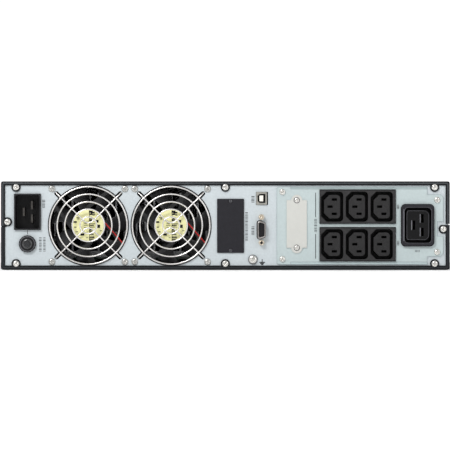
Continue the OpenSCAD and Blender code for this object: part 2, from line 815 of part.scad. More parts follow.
module serial_port() {
    pin_pitch_z = 2.77;
    color([0.7, 0.68, 0.66]) {
        difference() {
            union() {
                slab(-4.7, 3) translate([serial_x + 0.15, serial_z]) serial_d_2d(0);
                slab(-5.4, -4.7 + eps) translate([serial_x + 0.15, serial_z]) serial_d_2d(-0.5);
            }
            slab(-7, 2) translate([serial_x + 0.15, serial_z]) serial_d_2d(-1.3);
        }
        slab(panel_d1 + 0.05, 4) translate([serial_x, serial_z]) difference() {
            rounded_rect(12.4, 30.6, 1.5);
            for (s = [-1, 1]) translate([0, s * jackscrew_pitch / 2]) circle(1.7);
            square([4, 6], center = true);
        }
        difference() {
            slab(-4.9, 11) translate([serial_x + 0.2, serial_z]) serial_d_2d(-1.6);
            for (k = [-2:2]) slab(-8, 3) translate([serial_x - 1.2, serial_z + k * pin_pitch_z]) circle(0.55);
            for (k = [-1.5:1.5]) slab(-8, 3) translate([serial_x + 1.6, serial_z + k * pin_pitch_z]) circle(0.55);
        }
        slab(6, 14) translate([comm_board_x - 4, serial_z]) square([8, 15], center = true);
    }
}

module serial_jackscrews() {
    color([0.82, 0.76, 0.66])
        for (s = [-1, 1]) facing_rear(serial_x, serial_z + s * jackscrew_pitch / 2, panel_d0) difference() {
            union() {
                cylinder(h = 5, r = 3.1, $fn = 6);
                translate([0, 0, -4]) cylinder(h = 4 + eps, r = 1.5);
            }
            translate([0, 0, -2]) cylinder(h = 9, r = 1.2);
        }
}

module ground_terminal() {
    color([0.78, 0.78, 0.77]) {
        facing_rear(ground_x, ground_z, panel_d0 - 0.9) cross_screw(4.3, 2.6, 1.95, 8);
        facing_rear(ground_x, ground_z, panel_d0) difference() {
            cylinder(h = 0.85, r = 4.9);
            translate([0, 0, -1]) cylinder(h = 3, r = 2.1);
            for (a = [0:30:330]) rotate([0, 0, a]) translate([4.9, 0, -1]) cylinder(h = 3, r = 0.45);
        }
    }
}

module comm_board() {
    board_face_x = comm_board_x;
    color([0.05, 0.35, 0.2]) {
        translate(at(board_face_x, 5, 18)) cube([board_t, 70, 63]);
        for (z = [24, 44, 60]) translate(at(board_face_x - 2.2, 34, z)) cube([2.25, 12, 9]);
        translate(at(board_face_x - 6, 62, 30)) cube([6.05, 8, 34]);
    }
}

// ---------------------------------------------------------------- electronics

module main_board() {
    w = board_x[1] - board_x[0];
    color([0.05, 0.3, 0.15]) difference() {
        translate(at(board_x[0], board_depths[0], board_z)) cube([w, board_depths[1] - board_depths[0], board_t]);
        for (x = [-95, -15], d = [70, 222]) translate(at(x, d, board_z - 1)) cylinder(h = 5, r = 1.7);
    }
}

// Comb of upright fins on a thick foot.
module heatsinks() {
    foot = 6;
    base_z = board_z + board_t;
    top_z = 76;
    fin_t = 2;
    step = (heatsink_w - fin_t) / (heatsink_fins - 1);
    color([0.7, 0.71, 0.72]) for (x = heatsink_x) slab(74, 224) translate([x - heatsink_w / 2, base_z]) {
        square([heatsink_w, foot]);
        for (k = [0:heatsink_fins - 1])
            translate([k * step, foot - eps]) square([fin_t, top_z - base_z - foot]);
    }
}

module power_transistors() {
    color([0.08, 0.08, 0.08])
        for (s = [-1, 1], d = [84, 114, 144, 174])
            translate(at(-95 + s * 2.55 - 2.35, d, 20)) {
                cube([4.7, 16, 21]);
                for (k = [3, 7.5, 12]) translate([2, k, -6]) cube([0.6, 1.2, 6 + eps]);
            }
}

module bus_capacitors() {
    color([0.08, 0.1, 0.25])
        for (x = [10, 43], d = [142, 175, 208])
            translate(at(x, d, board_z + board_t)) {
                cylinder(h = 48, r = 15);
                translate([0, 0, 48 - eps]) cylinder(h = 1.2, r = 13.6);
            }
}

module toroid_chokes() {
    color([0.72, 0.4, 0.18])
        for (p = [[92, 98], [92, 155], [152, 192]])
            translate(at(p[0], p[1], board_z + board_t + 9)) rotate_extrude() translate([17, 0]) circle(8.8);
}

module transformer() {
    x = 134;
    d = 78;
    z = board_z + board_t;
    color([0.15, 0.15, 0.16]) {
        difference() {
            translate(at(x, d, z)) cube([46, 18, 44]);
            for (s = [7, 29]) translate(at(x + s, d - 1, z + 8)) cube([10, 20, 28]);
        }
        translate(at(x + 17.2, d - 9, z + 8.2)) difference() {
            translate([-10, 0, 0]) cube([31.6, 36, 27.6]);
            translate([-0.3, 8.9, -1]) cube([12.2, 18.2, 30]);
            translate([-11, 8.9, -1]) cube([1, 18.2, 30]);
            translate([21.4, 8.9, -1]) cube([1, 18.2, 30]);
        }
    }
}

module relays() {
    color([0.1, 0.1, 0.12])
        for (d = [70, 106, 142, 178]) translate(at(192, d, board_z + board_t)) cube([12.7, 29, 20]);
}

module filter_board() {
    color([0.08, 0.3, 0.15]) {
        translate(at(-214, 48, filter_z)) cube([34, 165, board_t]);
        for (d = [95, 130]) translate(at(-208, d, filter_z + board_t - eps)) cube([22, 12, 24]);
        translate(at(-197, 180, filter_z + board_t + 5.2)) rotate_extrude() translate([9, 0]) circle(5.5);
        translate(at(-205, 56, filter_z + board_t - eps)) cube([18, 12, 14]);
    }
}

// Insulated power leads behind the panel, each along its own hand-placed route.
lead_routes = [
    [at(-198, 33, 56.6), at(-198, 42, 56), at(-202, 50, 48), at(-202, 62, 34), at(-200, 62, 28)],
    [at(-190, 33, 63.1), at(-190, 46, 63), at(-188, 56, 52), at(-196, 62, 36), at(-196, 62, 28)],
    [at(-190, 33, 50.1), at(-190, 42, 50), at(-184, 52, 44), at(-191, 62, 34), at(-191, 62, 28)],
    [at(105, 25, 61), at(105, 36, 61), at(112, 46, 50), at(116, 58, 30), at(118, 66, 20), at(118, 68, 12.4)],
    [at(153, 25, 61), at(153, 36, 61), at(144, 46, 50), at(128, 58, 32), at(124, 66, 20), at(124, 68, 12.4)],
    [at(129, 25, 25), at(129, 36, 25), at(130, 46, 24), at(130, 58, 20), at(130, 68, 16), at(130, 70, 12.4)],
    [at(192, 33, 50), at(192, 44, 50), at(184, 52, 44), at(184, 60, 30), at(184, 68, 20), at(184, 70, 12.4)],
    [at(192, 33, 37), at(192, 44, 37), at(189, 52, 32), at(188.4, 58, 24), at(188.4, 64, 16), at(188.4, 66, 12.4)]
];

module mains_leads() {
    color([0.15, 0.25, 0.6]) for (r = lead_routes) tube(r, 1.6);
}

// ---------------------------------------------------------------- inner walls

module partition_wall() {
    color([0.72, 0.73, 0.74]) slab(partition_d, partition_d + sheet) difference() {
        translate([0, mid_z]) square([body_w - 2 * sheet - 2.6, body_h - 2 * sheet - 0.2], center = true);
        for (k = [0:16]) translate([-206 + k * 6.4, 50]) rotate(90) stadium(50, 3.2);
        for (k = [0:9]) translate([-70 + k * 8, 50]) rotate(90) stadium(40, 3.6);
        translate([drawer_x, 38]) square([34, 14], center = true);
    }
}

module bay_wall() {
    color([0.72, 0.73, 0.74])
        translate(at(bay_wall_x, partition_d + sheet, sheet)) cube([sheet, front_frame_d - partition_d - sheet, 84]);
}

module front_frame() {
    opening_x = [bay_wall_x + sheet + 0.8, drawer_x + drawer_w / 2 + 0.6];
    color([0.72, 0.73, 0.74]) slab(front_frame_d, front_frame_d + sheet) difference() {
        translate([0, mid_z]) square([body_w - 2 * sheet - 0.6, body_h - 2 * sheet - 0.6], center = true);
        translate([opening_x[0], drawer_z - 0.3]) square([opening_x[1] - opening_x[0], bay_top_z - drawer_z + 0.3]);
        translate([dial_x, mid_z]) square([100, 60], center = true);
        for (x = thumbscrew_x) translate([x, thumbscrew_z]) circle(2);
    }
}

// ---------------------------------------------------------------- battery drawer

module battery_tray() {
    len = faceplate_d - drawer_d0;
    plate_x = [bezel_split_x + 1.2, drawer_x + drawer_w / 2 + 2.4];
    color([0.7, 0.71, 0.72]) {
        difference() {
            slab(drawer_d0, faceplate_d) translate([drawer_x - drawer_w / 2, drawer_z]) difference() {
                square([drawer_w, drawer_side_h]);
                translate([sheet, sheet]) square([drawer_w - 2 * sheet, drawer_side_h]);
            }
            for (k = [0:4]) translate(at(drawer_x - 120 + k * 60, drawer_d0 + 60, drawer_z - 1))
                cylinder(h = 4, r = 4);
        }
        slab(drawer_d0, drawer_d0 + sheet) translate([drawer_x - drawer_w / 2, drawer_z]) square([drawer_w, 46]);
        slab(faceplate_d - eps, faceplate_d + sheet) difference() {
            translate([plate_x[0], 2.4]) square([plate_x[1] - plate_x[0], 82]);
            for (x = thumbscrew_x) translate([x, thumbscrew_z]) circle(2.4);
            for (p = grille_pegs) translate(p) circle(2.8);
        }
        translate(at(drawer_x - 45, faceplate_d + sheet - eps, 38)) {
            cube([90, 13, sheet]);
            translate([0, 13 - sheet, 0]) cube([90, sheet, 6]);
        }
    }
}

module battery_blocks() {
    color([0.28, 0.29, 0.31]) for (i = [0:batteries_across - 1], j = [0:battery_rows - 1]) {
        x0 = drawer_x + (i - batteries_across / 2) * (battery_size[0] + 0.3) + 0.15;
        translate(at(x0, battery_d0 + j * battery_step, drawer_z + sheet + 0.05)) {
            cube([battery_size[0], battery_size[1] - 8, battery_size[2]]);
            translate([1.2, battery_size[1] - 8 - eps, 1.2])
                cube([battery_size[0] - 2.4, 8, battery_size[2] - 2.4]);
        }
    }
}

// Flat tabs on each battery's front edge, and the short leads that join them in series.
module battery_links() {
    lead_r = 1.7;
    lead_span = 24;
    tab_z = drawer_z + sheet + 48;
    color([0.75, 0.1, 0.08]) {
        for (i = [0:batteries_across - 1], j = [0:battery_rows - 1], s = [0.08, 0.92])
            translate(at(drawer_x + (i - batteries_across / 2) * (battery_size[0] + 0.3) + s * battery_size[0] - 3,
                         battery_d0 + j * battery_step + battery_size[1], tab_z - 2))
                cube([6.3, 5.6, 0.8]);
        for (j = [0:battery_rows - 1])
            translate(at(drawer_x, battery_d0 + j * battery_step + battery_size[1] + 3, tab_z)) {
                rotate([90, 0, 0]) rotate_extrude(angle = 180) translate([lead_span / 2, 0]) circle(lead_r);
                for (s = [-1, 1]) translate([s * lead_span / 2, 0, -1.6]) cylinder(h = 1.6 + eps, r = lead_r);
            }
    }
}

plug_z = 38;

module battery_plug() {
    color([0.75, 0.72, 0.2]) {
        slab(drawer_d0 - 6, drawer_d0) translate([drawer_x, plug_z]) rounded_rect(30, 12, 1.5);
        for (s = [-1, 1]) slab(drawer_d0 - 9, drawer_d0 - 6 + eps) translate([drawer_x + s * 7, plug_z]) circle(2.6);
    }
}

module battery_socket() {
    color([0.12, 0.12, 0.12]) difference() {
        union() {
            slab(partition_d - 12, drawer_d0 - 6.4) translate([drawer_x, plug_z]) rounded_rect(32, 12.6, 1.5);
            slab(partition_d + sheet, partition_d + sheet + 2)
                translate([drawer_x, plug_z]) rounded_rect(42, 19, 2);
        }
        slab(partition_d - 13, drawer_d0)
            for (s = [-1, 1]) translate([drawer_x + s * 7, plug_z]) circle(3);
    }
}

module tray_thumbscrews() {
    color([0.8, 0.8, 0.8]) for (x = thumbscrew_x) facing_front(x, thumbscrew_z, faceplate_d + sheet) {
        difference() {
            cylinder(h = 10, r = 5.2);
            for (a = [0:30:330]) rotate([0, 0, a]) translate([5.5, 0, 1.2]) cylinder(h = 12, r = 0.8);
            translate([-6, -0.6, 8.6]) cube([12, 1.2, 3]);
        }
        translate([0, 0, -9]) cylinder(h = 9 + eps, r = 1.9);
    }
}

// ---------------------------------------------------------------- front bezel

grille_x = [bezel_split_x + 0.4, body_w / 2 - bezel_side_gap];
console_x = [-body_w / 2 + bezel_side_gap, bezel_split_x - 0.4];
bezel_z = [0.3, body_h - 0.3];
grille_pegs = [[grille_x[0] + 12, 8], [grille_x[1] - 16, 8], [grille_x[0] + 40, 78], [grille_x[1] - 40, 78]];

// Plan outline of one bezel half, rounded at its outer front corner. X grows towards the outer end.
module bezel_plan(length, inset) {
    r = bezel_edge_r - inset;
    depth = front_d - bezel_d0 - inset;
    polygon([[inset, 0], [length - inset, 0], [length - inset, depth - r], [length - inset - r, depth], [inset, depth]]);
    translate([length - inset - r, depth - r]) circle(r);
}

// A bezel half as a shell open at the back; side is 1 towards +X and -1 towards -X.
module bezel_shell(inner_x, length, side) {
    translate([inner_x, rear_y + bezel_d0, 0]) mirror([side < 0 ? 1 : 0, 0, 0]) difference() {
        translate([0, 0, bezel_z[0]]) linear_extrude(bezel_z[1] - bezel_z[0]) bezel_plan(length, 0);
        translate([0, -eps, bezel_z[0] + bezel_wall])
            linear_extrude(bezel_z[1] - bezel_z[0] - 2 * bezel_wall) bezel_plan(length, bezel_wall);
        translate([bezel_wall, -1, bezel_z[0] + bezel_wall])
            cube([length - 2 * bezel_wall, 2, bezel_z[1] - bezel_z[0] - 2 * bezel_wall]);
    }
}

module battery_grille() {
    length = grille_x[1] - grille_x[0];
    louvre_count = 8;
    louvre_pitch = 8.4;
    louvre_w = 3.6;
    columns = 5;
    column_w = 52;
    column_step = 56;
    first_x = grille_x[0] + 14 + column_w / 2;
    color([0.1, 0.1, 0.11]) {
        difference() {
            bezel_shell(grille_x[0], length, 1);
            for (c = [0:columns - 1], k = [0:louvre_count - 1])
                slab(front_d - 6, front_d + 2)
                    translate([first_x + c * column_step, mid_z + (k - (louvre_count - 1) / 2) * louvre_pitch])
                        stadium(column_w, louvre_w);
        }
        for (p = grille_pegs) slab(body_d + 0.4, front_d - 2) translate(p) circle(2.4);
    }
}

module front_console() {
    length = console_x[1] - console_x[0];
    seat_r = dial_r + 2.4;
    color([0.1, 0.1, 0.11]) difference() {
        union() {
            bezel_shell(console_x[1], length, -1);
            for (sx = [-1, 1], sz = [-1, 1]) slab(front_frame_d + sheet, front_d - 2)
                translate([dial_x + sx * 48, mid_z + sz * 32]) circle(3);
            slab(front_d - 9, front_d - 2) translate([dial_x, mid_z]) circle(seat_r + 1.4);
        }
        slab(front_d - 7, front_d - 2.5) translate([dial_x, mid_z]) circle(seat_r);
        slab(front_d - 10, front_d - 6) translate([dial_x, mid_z]) circle(36);
        slab(front_d - 6, front_d + 2) translate([dial_x, mid_z]) circle(dial_r + dial_clear);
    }
}

module display_dial() {
    face_d = front_d + 1;
    color([0.16, 0.17, 0.18]) difference() {
        union() {
            slab(front_d - 4, face_d) translate([dial_x, mid_z]) circle(dial_r);
            slab(front_d - 6, front_d - 3) translate([dial_x, mid_z]) circle(dial_r + 2);
            slab(front_d - 22, front_d - 5.9) translate([dial_x, mid_z]) circle(34);
        }
        slab(face_d - 1.2, face_d + 1) translate([dial_x, mid_z + 6]) rounded_rect(50, 27, 2);
        slab(face_d - 1.2, face_d + 1) translate([dial_x, mid_z + 26]) rounded_rect(30, 4.4, 2);
        for (k = [0:2]) slab(front_d - 4, face_d + 1)
            translate([dial_x + (1 - k) * key_pitch, mid_z + key_z]) circle(key_r + key_clear);
    }
}

module display_glass() {
    face_d = front_d + 1;
    color([0.1, 0.2, 0.35]) {
        slab(face_d - 1.15, face_d - 0.2) translate([dial_x, mid_z + 6]) rounded_rect(49.6, 26.6, 1.8);
        slab(face_d - 1.15, face_d - 0.1) translate([dial_x, mid_z + 26]) rounded_rect(29.6, 4, 1.8);
    }
}

// Keys are counted from the viewer's left when facing the front.
module key(k) {
    color([0.5, 0.52, 0.54]) facing_front(dial_x + (1 - k) * key_pitch, mid_z + key_z, front_d - 2.5) {
        cylinder(h = key_top_d - front_d + 2.5 - 0.5, r = key_r);
        translate([0, 0, key_top_d - front_d + 2]) cylinder(h = 0.5, r1 = key_r, r2 = key_r - 0.5);
    }
}

// ---------------------------------------------------------------- rack ears

module rack_ear(side) {
    ear_t = 2;
    leg_d = 70;
    x0 = body_w / 2 + 0.1;
    flange_w = (rack_w - body_w) / 2 - 0.1;
    color([0.1, 0.1, 0.11]) difference() {
        union() {
            translate(at(side > 0 ? x0 : -x0 - ear_t, body_d - leg_d, 0.2)) cube([ear_t, leg_d, body_h - 0.4]);
            slab(body_d - ear_t, body_d) translate([side * (x0 + flange_w / 2), mid_z])
                square([flange_w, body_h - 0.4], center = true);
        }
        slab(body_d - 6, body_d + 2) for (s = [-1, 1])
            translate([side * rack_hole_span / 2, mid_z + s * rack_hole_pitch / 2]) stadium(10.4, 6.8);
        for (d = ear_screw_depths, z = ear_screw_z, s = [-1, 1])
            translate(at(side * (x0 - 2), d, mid_z + s * (mid_z - z))) rotate([0, side * 90, 0]) {
                cylinder(h = 6, r = 2.2);
                translate([0, 0, 2]) cylinder(h = 2.01, r1 = 2.2, r2 = 4.2);
            }
    }
}

module ear_screws() {
    color([0.75, 0.75, 0.75])
        for (side = [-1, 1], d = ear_screw_depths, z = ear_screw_z, s = [-1, 1])
            translate(at(side * (body_w / 2 + 2.1), d, mid_z + s * (mid_z - z))) rotate([0, side * 90, 0])
                difference() {
                    union() {
                        translate([0, 0, -1.9]) cylinder(h = 1.9, r1 = 2, r2 = 4);
                        translate([0, 0, -5.2]) cylinder(h = 3.4, r = 1.9);
                    }
                    for (a = [0, 90]) rotate([0, 0, a]) translate([-2.1, -0.45, -1.1]) cube([4.2, 0.9, 2]);
                }
}

// ---------------------------------------------------------------- nodes

bottom_tray();
top_cover();
rear_panel();
output_panel();
cover_screws();
panel_screws();
blank_plate();
slot_cover();
slot_card_cage();
inlet_housing();
inlet_pins();
breaker_body();
breaker_nut();
breaker_button();
fan_frame(fan_x[0]);  // fan_frame_left
fan_frame(fan_x[1]);  // fan_frame_right
fan_motor_coils();
fan_rotor(fan_x[0]);  // fan_rotor_left
fan_rotor(fan_x[1]);  // fan_rotor_right
fan_guard(fan_x[0]);  // fan_guard_left
fan_guard(fan_x[1]);  // fan_guard_right
fan_screws();
fan_leads();
outlet_block(block_z[1]);  // outlet_block_upper
outlet_block(block_z[0]);  // outlet_block_lower
outlet_contacts();
outlet_c19();
usb_port();
serial_port();
serial_jackscrews();
ground_terminal();
comm_board();
main_board();
heatsinks();
power_transistors();
bus_capacitors();
toroid_chokes();
transformer();
relays();
filter_board();
mains_leads();
partition_wall();
bay_wall();
front_frame();
battery_tray();
battery_blocks();
battery_links();
battery_plug();
battery_socket();
tray_thumbscrews();
battery_grille();
front_console();
display_dial();
display_glass();
key(0);  // key_on
key(1);  // key_off
key(2);  // key_select
rack_ear(-1);  // rack_ear_left
rack_ear(1);  // rack_ear_right
ear_screws();
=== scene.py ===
import json
import math

import bmesh
import bpy
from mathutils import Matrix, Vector


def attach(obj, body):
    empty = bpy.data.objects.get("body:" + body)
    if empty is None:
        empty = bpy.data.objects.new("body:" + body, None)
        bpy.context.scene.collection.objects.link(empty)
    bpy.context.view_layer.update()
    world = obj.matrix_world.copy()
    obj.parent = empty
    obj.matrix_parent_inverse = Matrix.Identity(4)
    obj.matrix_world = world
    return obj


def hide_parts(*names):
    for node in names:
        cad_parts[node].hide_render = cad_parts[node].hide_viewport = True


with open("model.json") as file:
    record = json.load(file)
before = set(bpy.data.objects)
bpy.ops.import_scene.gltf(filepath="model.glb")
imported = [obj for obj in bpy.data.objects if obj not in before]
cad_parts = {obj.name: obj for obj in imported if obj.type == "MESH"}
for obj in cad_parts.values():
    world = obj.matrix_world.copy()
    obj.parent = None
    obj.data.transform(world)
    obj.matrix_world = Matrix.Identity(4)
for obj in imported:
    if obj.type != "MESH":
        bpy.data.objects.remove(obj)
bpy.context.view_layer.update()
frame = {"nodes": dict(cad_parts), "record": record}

# Sizes below are in millimetres: X across, "d" the depth inward from the rear face, Z up.
MM = 0.001
REAR = -297.1
MID_Z = 43.25
FRONT_D = 600.0
FANS = {"left": -134.3, "right": -53.2}
FAN_Z = 43.4
FAN_D = 4.35
FAN_HOLE = 35.75
OPENING_R = 39.4
DIAL_X = -155.0


# ------------------------------------------------------------------ geometry


def circle(x, z, r, n=32, start=0.0, sweep=360.0):
    """Points of a circle or arc in the X-Z plane."""
    last = n if sweep >= 360 else n - 1
    angles = [math.radians(start + sweep * k / last) for k in range(n)]
    return [(x + r * math.cos(a), z + r * math.sin(a)) for a in angles]


def rounded(x, z, w, h, r, n=6):
    """Outline of a rounded rectangle, anticlockwise from its lower right corner."""
    corners = ((1, -1, 270), (1, 1, 0), (-1, 1, 90), (-1, -1, 180))
    out = []
    for sx, sz, a in corners:
        out += circle(x + sx * (w / 2 - r), z + sz * (h / 2 - r), r, n, a, 90)
    return out


def keyed(x, z, w, h, cut, r):
    """A rectangle with its left corners cut off and its right corners rounded."""
    out = circle(x + w / 2 - r, z - h / 2 + r, r, 5, 270, 90)
    out += circle(x + w / 2 - r, z + h / 2 - r, r, 5, 0, 90)
    out += [(x - w / 2 + cut, z + h / 2), (x - w / 2, z + h / 2 - cut)]
    out += [(x - w / 2, z - h / 2 + cut), (x - w / 2 + cut, z - h / 2)]
    return out


def resample(outline, n):
    """The outline's points in n even directions from its middle, for a convex outline."""
    cx = sum(p[0] for p in outline) / len(outline)
    cz = sum(p[1] for p in outline) / len(outline)
    out = []
    for k in range(n):
        a = 2 * math.pi * (k + 0.5) / n
        ux, uz = math.cos(a), math.sin(a)
        best = 0.0
        for (ax, az), (bx, bz) in zip(outline, outline[1:] + outline[:1]):
            ex, ez = bx - ax, bz - az
            cross = ux * ez - uz * ex
            if abs(cross) < 1e-12:
                continue
            t = ((ax - cx) * ez - (az - cz) * ex) / cross
            s = ((ax - cx) * uz - (az - cz) * ux) / cross
            if t > best and -1e-9 <= s <= 1 + 1e-9:
                best = t
        out.append((cx + ux * best, cz + uz * best))
    return out


def inset(outline, amount):
    """Moves each point of an anticlockwise outline inward."""
    out = []
    n = len(outline)
    for i, (x, z) in enumerate(outline):
        ax, az = outline[i - 1]
        bx, bz = outline[(i + 1) % n]
        tx, tz = bx - ax, bz - az
        length = math.hypot(tx, tz) or 1.0
        out.append((x - tz / length * amount, z + tx / length * amount))
    return out


def smooth_path(points, times=2):
    """Rounds a route by cutting its corners."""
    path = [Vector(p) for p in points]
    for _ in range(times):
        cut = [path[0]]
        for a, b in zip(path, path[1:]):
            cut += [a.lerp(b, 0.25), a.lerp(b, 0.75)]
        path = cut + [path[-1]]
    return path


class Shape:
    """Vertices and faces of one piece, each vertex as (x, d, z)."""

    def __init__(self):
        self.verts = []
        self.faces = []

    def add(self, verts, faces):
        first = len(self.verts)
        self.verts += [tuple(v) for v in verts]
        self.faces += [tuple(first + i for i in f) for f in faces]

    def skin(self, rings, loop=False, closed=True, caps=(True, True)):
        """Joins rings of equal length."""
        n = len(rings[0])
        faces = []
        for i in range(len(rings) if loop else len(rings) - 1):
            a, b = i * n, (i + 1) % len(rings) * n
            for k in range(n if closed else n - 1):
                m = (k + 1) % n
                faces.append((a + k, a + m, b + m, b + k))
        if not loop and closed:
            if caps[0]:
                faces.append(tuple(range(n - 1, -1, -1)))
            if caps[1]:
                faces.append(tuple((len(rings) - 1) * n + k for k in range(n)))
        self.add([p for ring in rings for p in ring], faces)

    def tube(self, path, radius, sides=10, loop=False):
        pts = [Vector(p) for p in path]
        n = len(pts)
        side = None
        rings = []
        for i, p in enumerate(pts):
            after = pts[(i + 1) % n] if loop else pts[min(i + 1, n - 1)]
            before = pts[i - 1] if loop or i else pts[0]
            t = (after - before).normalized()
            side = t.orthogonal() if side is None else side - t * side.dot(t)
            side.normalize()
            up = t.cross(side)
            turns = [2 * math.pi * k / sides for k in range(sides)]
            rings.append([p + radius * (math.cos(a) * side + math.sin(a) * up) for a in turns])
        self.skin(rings, loop=loop)

    def lathe(self, x, z, profile, sides=48, loop=False, caps=(True, True)):
        """Turns a profile of (radius, depth) about an axis along the depth."""
        rings = [[(px, d, pz) for px, pz in circle(x, z, max(r, 0.005), sides)] for r, d in profile]
        self.skin(rings, loop=loop, caps=caps)

    def prism(self, outline, d0, d1, edge=0.0, steps=3):
        """An outline between two depths, its outer edge at d0 rounded."""
        rings = []
        sign = 1 if d1 > d0 else -1
        if edge:
            for k in range(steps):
                a = math.pi / 2 * k / steps
                rim = inset(outline, edge * (1 - math.sin(a)))
                rings.append([(x, d0 + sign * edge * (1 - math.cos(a)), z) for x, z in rim])
            rings.append([(x, d0 + sign * edge, z) for x, z in outline])
        else:
            rings.append([(x, d0, z) for x, z in outline])
        rings.append([(x, d1, z) for x, z in outline])
        self.skin(rings)

    def frame(self, outer, inner, d0, d1, n=72, lip=0.15, floor=None):
        """A wall between two outlines with rounded front edges; floor closes it at that depth."""
        out, hole = resample(outer, n), resample(inner, n)
        rings = [
            [(x, d1, z) for x, z in out],
            [(x, d0 + lip, z) for x, z in out],
            [(x, d0, z) for x, z in inset(out, lip)],
            [(x, d0, z) for x, z in inset(hole, -lip)],
            [(x, d0 + lip, z) for x, z in hole],
            [(x, d1 if floor is None else floor, z) for x, z in hole],
        ]
        self.skin(rings, loop=floor is None, caps=(floor is not None, floor is not None))

    def block(self, x, d, z, size, edge=0.0):
        """A box whose lowest corner is (x, d, z)."""
        w, t, h = size
        r = min(edge, w / 2.1, h / 2.1) or 0.01
        self.prism(rounded(x + w / 2, z + h / 2, w, h, r, 3), d, d + t, min(edge, t / 3))

    def stroke(self, points, width, d, depth=0.05):
        """A thin flat line, used for print and for painted shadow lines."""
        for (ax, az), (bx, bz) in zip(points, points[1:]):
            length = math.hypot(bx - ax, bz - az) or 1.0
            nx, nz = -(bz - az) / length * width / 2, (bx - ax) / length * width / 2
            ex, ez = (bx - ax) / length * width * 0.3, (bz - az) / length * width * 0.3
            outline = [
                (ax - nx - ex, az - nz - ez), (bx - nx + ex, bz - nz + ez),
                (bx + nx + ex, bz + nz + ez), (ax + nx - ex, az + nz - ez),
            ]
            self.prism(outline, d - depth, d - 0.005)

    def screw(self, x, z, d, r, h, turn=0.0, sink=0.5, sides=64, rings=18):
        """A pan head with a cross recess, its seat at depth d."""
        grid = []
        ca, sa = math.cos(math.radians(turn)), math.sin(math.radians(turn))
        for i in range(rings + 1):
            q = i / rings
            ring = []
            for px, pz in circle(0, 0, max(r * q, 0.004), sides):
                u, v = px * ca + pz * sa, -px * sa + pz * ca
                dome = h * max(0.0, 1 - q**3.2) ** 0.45
                cut = 0.0
                for along, across in ((u, v), (v, u)):
                    length = min(1.0, max(0.0, (0.6 * r - abs(along)) / (0.16 * r)))
                    width = min(1.0, max(0.0, (0.15 * r - abs(across)) / (0.06 * r)))
                    cut = max(cut, length * width)
                ring.append((x + px, d - max(0.0, dome - cut * sink * h), z + pz))
            grid.append(ring)
        self.skin(grid[::-1], caps=(False, True))


def finish_mesh(name, shape, material, body, replaces=(), smooth=35.0):
    """Turns a shape into an object that rides on a body."""
    mesh = bpy.data.meshes.new(name)
    mesh.from_pydata([(x * MM, (REAR + d) * MM, z * MM) for x, d, z in shape.verts], [], shape.faces)
    bm = bmesh.new()
    bm.from_mesh(mesh)
    bmesh.ops.recalc_face_normals(bm, faces=bm.faces)
    limit = math.radians(smooth)
    for f in bm.faces:
        f.smooth = True
    for e in bm.edges:
        e.smooth = len(e.link_faces) == 2 and e.calc_face_angle(0) < limit
    bm.to_mesh(mesh)
    bm.free()
    mesh.materials.append(material)
    obj = bpy.data.objects.new(name, mesh)
    bpy.context.scene.collection.objects.link(obj)
    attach(obj, body)
    if replaces:
        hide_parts(*replaces)
    return obj


# ------------------------------------------------------------------ materials


def shade(colour, factor):
    return tuple(min(1.0, c * factor) for c in colour[:3]) + (1.0,)


def surface(
    name, colour, rough, metal=0.0, mottle=(90, 0.08), grain=(2200, 0.05), spread=0.08,
    bump=0.03, edge=0.25, specular=0.5, coat=0.0, stretch=None, second=None,
):
    """A finish with uneven colour, uneven gloss, a fine relief and softened edges."""
    mat = bpy.data.materials.new(name)
    mat.use_nodes = True
    nodes, links = mat.node_tree.nodes, mat.node_tree.links
    bsdf = nodes["Principled BSDF"]
    where = nodes.new("ShaderNodeTexCoord")
    source = where.outputs["Object"]
    if stretch:
        mapping = nodes.new("ShaderNodeMapping")
        mapping.inputs["Scale"].default_value = stretch
        links.new(source, mapping.inputs["Vector"])
        source = mapping.outputs["Vector"]
    broad = nodes.new("ShaderNodeTexNoise")
    broad.inputs["Scale"].default_value = mottle[0]
    broad.inputs["Detail"].default_value = 5.0
    links.new(source, broad.inputs["Vector"])
    ramp = nodes.new("ShaderNodeValToRGB")
    ramp.color_ramp.elements[0].position = 0.3
    ramp.color_ramp.elements[0].color = shade(colour, 1 - mottle[1])
    ramp.color_ramp.elements[1].position = 0.7
    ramp.color_ramp.elements[1].color = shade(second or colour, 1 + mottle[1])
    links.new(broad.outputs["Fac"], ramp.inputs["Fac"])
    links.new(ramp.outputs["Color"], bsdf.inputs["Base Color"])
    fine = nodes.new("ShaderNodeTexNoise")
    fine.inputs["Scale"].default_value = grain[0]
    fine.inputs["Detail"].default_value = 3.0
    links.new(source, fine.inputs["Vector"])
    gloss = nodes.new("ShaderNodeMapRange")
    gloss.inputs["From Min"].default_value = 0.3
    gloss.inputs["From Max"].default_value = 0.7
    gloss.inputs["To Min"].default_value = max(0.02, rough - spread)
    gloss.inputs["To Max"].default_value = min(1.0, rough + spread)
    links.new(fine.outputs["Fac"], gloss.inputs["Value"])
    links.new(gloss.outputs["Result"], bsdf.inputs["Roughness"])
    relief = nodes.new("ShaderNodeBump")
    relief.inputs["Strength"].default_value = grain[1] * 10
    relief.inputs["Distance"].default_value = bump * MM
    links.new(fine.outputs["Fac"], relief.inputs["Height"])
    if edge:
        bevel = nodes.new("ShaderNodeBevel")
        bevel.samples = 4
        bevel.inputs["Radius"].default_value = edge * MM
        links.new(bevel.outputs["Normal"], relief.inputs["Normal"])
    links.new(relief.outputs["Normal"], bsdf.inputs["Normal"])
    bsdf.inputs["Metallic"].default_value = metal
    bsdf.inputs["Specular IOR Level"].default_value = specular
    bsdf.inputs["Coat Weight"].default_value = coat
    return mat


